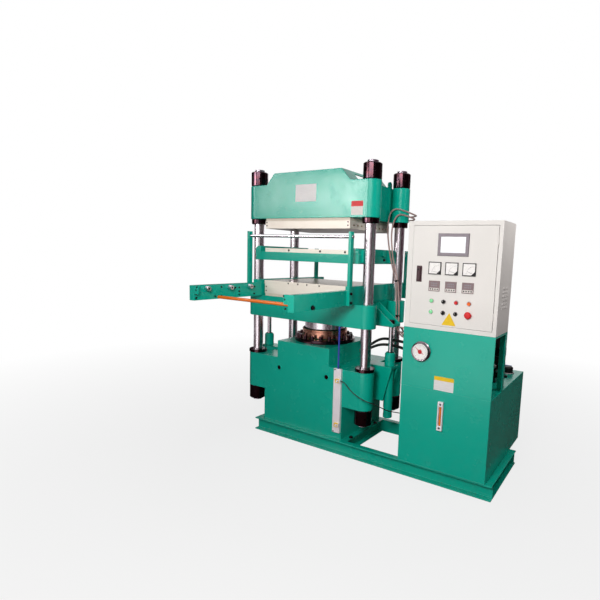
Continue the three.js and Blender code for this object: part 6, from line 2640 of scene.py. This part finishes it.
    def build_controller(self, x: float, index: int) -> None:
        """Build one temperature controller with its display strip and keys.

        Args:
            x: Its middle from the ram's axis.
            index: Its number from the left.
        """
        wide, deep, tall = self.controller_size
        front = self.front(x, self.controller_level)
        case = Workpiece.block(Extent.around(front - Vector((0, deep / 2, 0)), self.controller_size))
        case.sunk(on_front, 0.003, 0.001).finished(Look.BROWN).eased(0.0012)
        face = front - Vector((0, deep - 0.0012, 0))
        window = Workpiece.block(
            Extent.around(face + Vector((0, 0, 0.010)), (wide - 0.009, 0.0012, tall - 0.030))
        )
        strip = Workpiece.block(Extent.around(face + Vector((0, 0, -0.020)), (wide - 0.009, 0.0010, 0.017)))
        digits = []
        for height, across in product((0.017, 0.003), (-0.016, -0.005, 0.006, 0.017)):
            digit = Workpiece.block(
                Extent.around(face + Vector((across, -0.0007, height)), (0.008, 0.0004, 0.009))
            )
            digits.append(digit.finished(Look.BEZEL).eased(0.0001, 1))
        keys = [face + Vector((across, -0.0005, -0.020)) for across in (-0.023, -0.008, 0.008, 0.023)]
        key = Workpiece.turned(((0.0045, 0), (0.0045, 0.0003), (0.004, 0.0005)), Vector(), sides=20)
        key.finished(Look.BLACK).smooth()
        window.finished(Look.BROWN).eased(0.0004, 1)
        strip.finished(Look.PALE).eased(0.0004, 1)
        case.joined(window, strip, *digits, key.repeated(facing(keys, FRONT)))
        case.mounted(f"heat_controller_{index + 1}", "door", "box_door")

    def build_bezels(self) -> None:
        """Fit a bright ring under every lamp, switch and button."""
        pushed = [self.front(x, self.rows[0]) for x in self.columns[2:]]
        places = [self.front(x, z) for x, z in product(self.columns, self.rows)]
        still = [place for place in places if place not in pushed]
        narrow, wide = ((0.0130, 0.003), (0.0122, 0.0022)), ((0.0122, 0.003),)
        rings = []
        for bore, crest, spots in ((self.stem_radius, narrow, still), (self.cap_radius, wide, pushed)):
            profile = ((0.0148, 0), (0.0148, 0.002), (0.0142, 0.003), *crest, (bore, 0.0022), (bore, 0))
            ring = Workpiece.turned(profile, Vector(), sides=48, ring=True).finished(Look.ZINC).smooth(25)
            rings.append(ring.repeated(facing(spots, FRONT)))
        together(rings).mounted("control_bezels", "door", "box_door")

    def build_lamps(self) -> None:
        """Fit the two domed green lamps."""
        dome = (
            (0.012, 0.002), (0.0122, 0.004), (0.0115, 0.0065), (0.009, 0.0082), (0.005, 0.009),
            (0.001, 0.0092)
        )
        lamp = Workpiece.turned(dome, Vector(), sides=40).finished(Look.GREEN_LENS).smooth(60)
        places = [self.front(self.columns[0], z) for z in self.rows]
        lamp.repeated(facing(places, FRONT)).mounted("green_lamps", "door", "box_door")

    def build_selectors(self) -> None:
        """Build the three selector switches, each with a ribbed knob and a pointed grip."""
        for node in ("selector_1", "selector_2", "selector_3"):
            box = Extent.of(node)
            foot = Vector((box.centre.x, box.high.y, box.centre.z))
            profile = ((0.0118, 0), (0.012, 0.001), (0.012, 0.008), (0.0108, 0.010))
            knob = Workpiece.turned(profile, foot, FRONT, 36)
            knob.sunk(
                lambda middle, normal: abs(normal.y) < 0.2 and middle.y < foot.y - 0.002, 0.0003, 0.0004
            )
            grip = Workpiece.cuboid(
                foot + Vector((-0.004, -0.020, -0.011)), foot + Vector((0.004, -0.009, 0.011))
            )
            grip.tapered(on_front, (0.6, 1, 0.92), Vector((foot.x, foot.y - 0.020, foot.z)))
            low, high = foot + Vector((-0.0008, -0.0202, 0.001)), foot + Vector((0.0008, -0.019, 0.0098))
            stripe = Workpiece.cuboid(low, high).finished(Look.DIAL).eased(0.0002, 1)
            knob.finished(Look.BLACK).smooth(20).joined(grip.finished(Look.BLACK).eased(0.001), stripe)
            knob.mounted(f"{node}_knob", node, node)

    def build_buttons(self) -> None:
        """Turn the push buttons and the mushroom head of the emergency stop."""
        for node, look in (("red_button", Look.RED), ("orange_button", Look.ORANGE_CAP)):
            tall = Extent.of(node).size.y
            profile = (
                (0.0078, 0), (0.0078, tall - 0.0092), (0.0105, tall - 0.0092), (0.0105, tall - 0.0015),
                (0.0095, tall - 0.0004), (0.0075, tall - 0.0010), (0.001, tall - 0.0012),
            )
            self.cap(node, profile, 48).finished(look).smooth(30).mounted(f"{node}_cap", node, node)
        node = "emergency_stop"
        tall = Extent.of(node).size.y
        profile = (
            (0.0078, 0), (0.0078, tall - 0.0125), (0.013, tall - 0.0135), (0.020, tall - 0.012),
            (0.0220, tall - 0.009), (0.0215, tall - 0.0055), (0.0185, tall - 0.0022),
            (0.0125, tall - 0.0005), (0.004, tall), (0.001, tall),
        )
        self.cap(node, profile, 64).finished(Look.RED).smooth(50).mounted("stop_mushroom", node, node)

    def cap(self, node: str, profile: Profile, sides: int) -> Workpiece:
        """Turn a button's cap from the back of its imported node's box, by its profile and its sides."""
        box = Extent.of(node)
        return Workpiece.turned(profile, Vector((box.centre.x, box.high.y, box.centre.z)), FRONT, sides)

    def build_handle(self) -> None:
        """Build the swing handle on its plate, with a keyhole."""
        box = Extent.of("door_handle")
        centre = box.centre
        middle = Vector((centre.x, at(0, self.panel_front - 0.002, 0).y, centre.z))
        plate = Workpiece.block(Extent.around(middle, (0.0368, 0.004, 0.1018)))
        plate.finished(Look.HANDLE).eased(0.0015).mounted("handle_plate", "door", "box_door")
        grip = Workpiece.block(box)
        grip.tapered(on_front, (0.8, 1, 0.95), box.at(0.5, 0, 0.5))
        grip.sunk(on_front, 0.004, 0.0012)
        grip.finished(Look.HANDLE).eased(0.0022, 3)
        keyhole = Vector((centre.x, box.low.y + 0.002, box.high.z - 0.018))
        lock = Workpiece.turned(((0.0065, 0), (0.0065, 0.0016), (0.0058, 0.002)), keyhole, FRONT, 32)
        grip.joined(lock.finished(Look.BLACK).smooth()).mounted("swing_handle", "handle", "door_handle")

    def build_sign(self) -> None:
        """Stick the plain yellow triangle on the door's foot."""
        left, right, low, high = self.sign
        middle = self.front((left + right) / 2, low + (high - low) / 3)
        radius = (high - low) * 2 / 3
        profile = ((radius, -0.0002), (radius, 0.0005), (radius - 0.0006, 0.0008))
        sign = Workpiece.turned(profile, Vector(), sides=3)
        corner = max((vertex.co for vertex in sign.thing.data.vertices), key=lambda place: place.length)
        lean = math.radians(90) - math.atan2(corner.y, corner.x)
        axes = Matrix(((1, 0, 0), (0, 0, -1), (0, 1, 0))).to_4x4()
        sign.moved(Matrix.Translation(middle) @ axes @ Matrix.Rotation(lean, 4, "Z"))
        sign.finished(Look.YELLOW).eased(0.0002, 1).mounted("plain_triangle", "door")


def main() -> None:
    """Build the press, one sub-assembly after another."""
    logging.basicConfig(level=logging.INFO, format="%(name)s: %(message)s")
    for part in (
        Viewpoint(), Studio(), Cords(), BaseFrame(), PressBody(), MainCylinder(), Columns(), UpperBeam(),
        HotPlates(), MiddleFrame(), Platform(), LiftCylinders(), Rails(), TravelSensor(),
        OilTank(), CabinetStand(), ElectricBox(), BoxDoor(),
    ):
        log.info("%s", type(part).__name__)
        part.build()


if __name__ == "__main__":
    main()
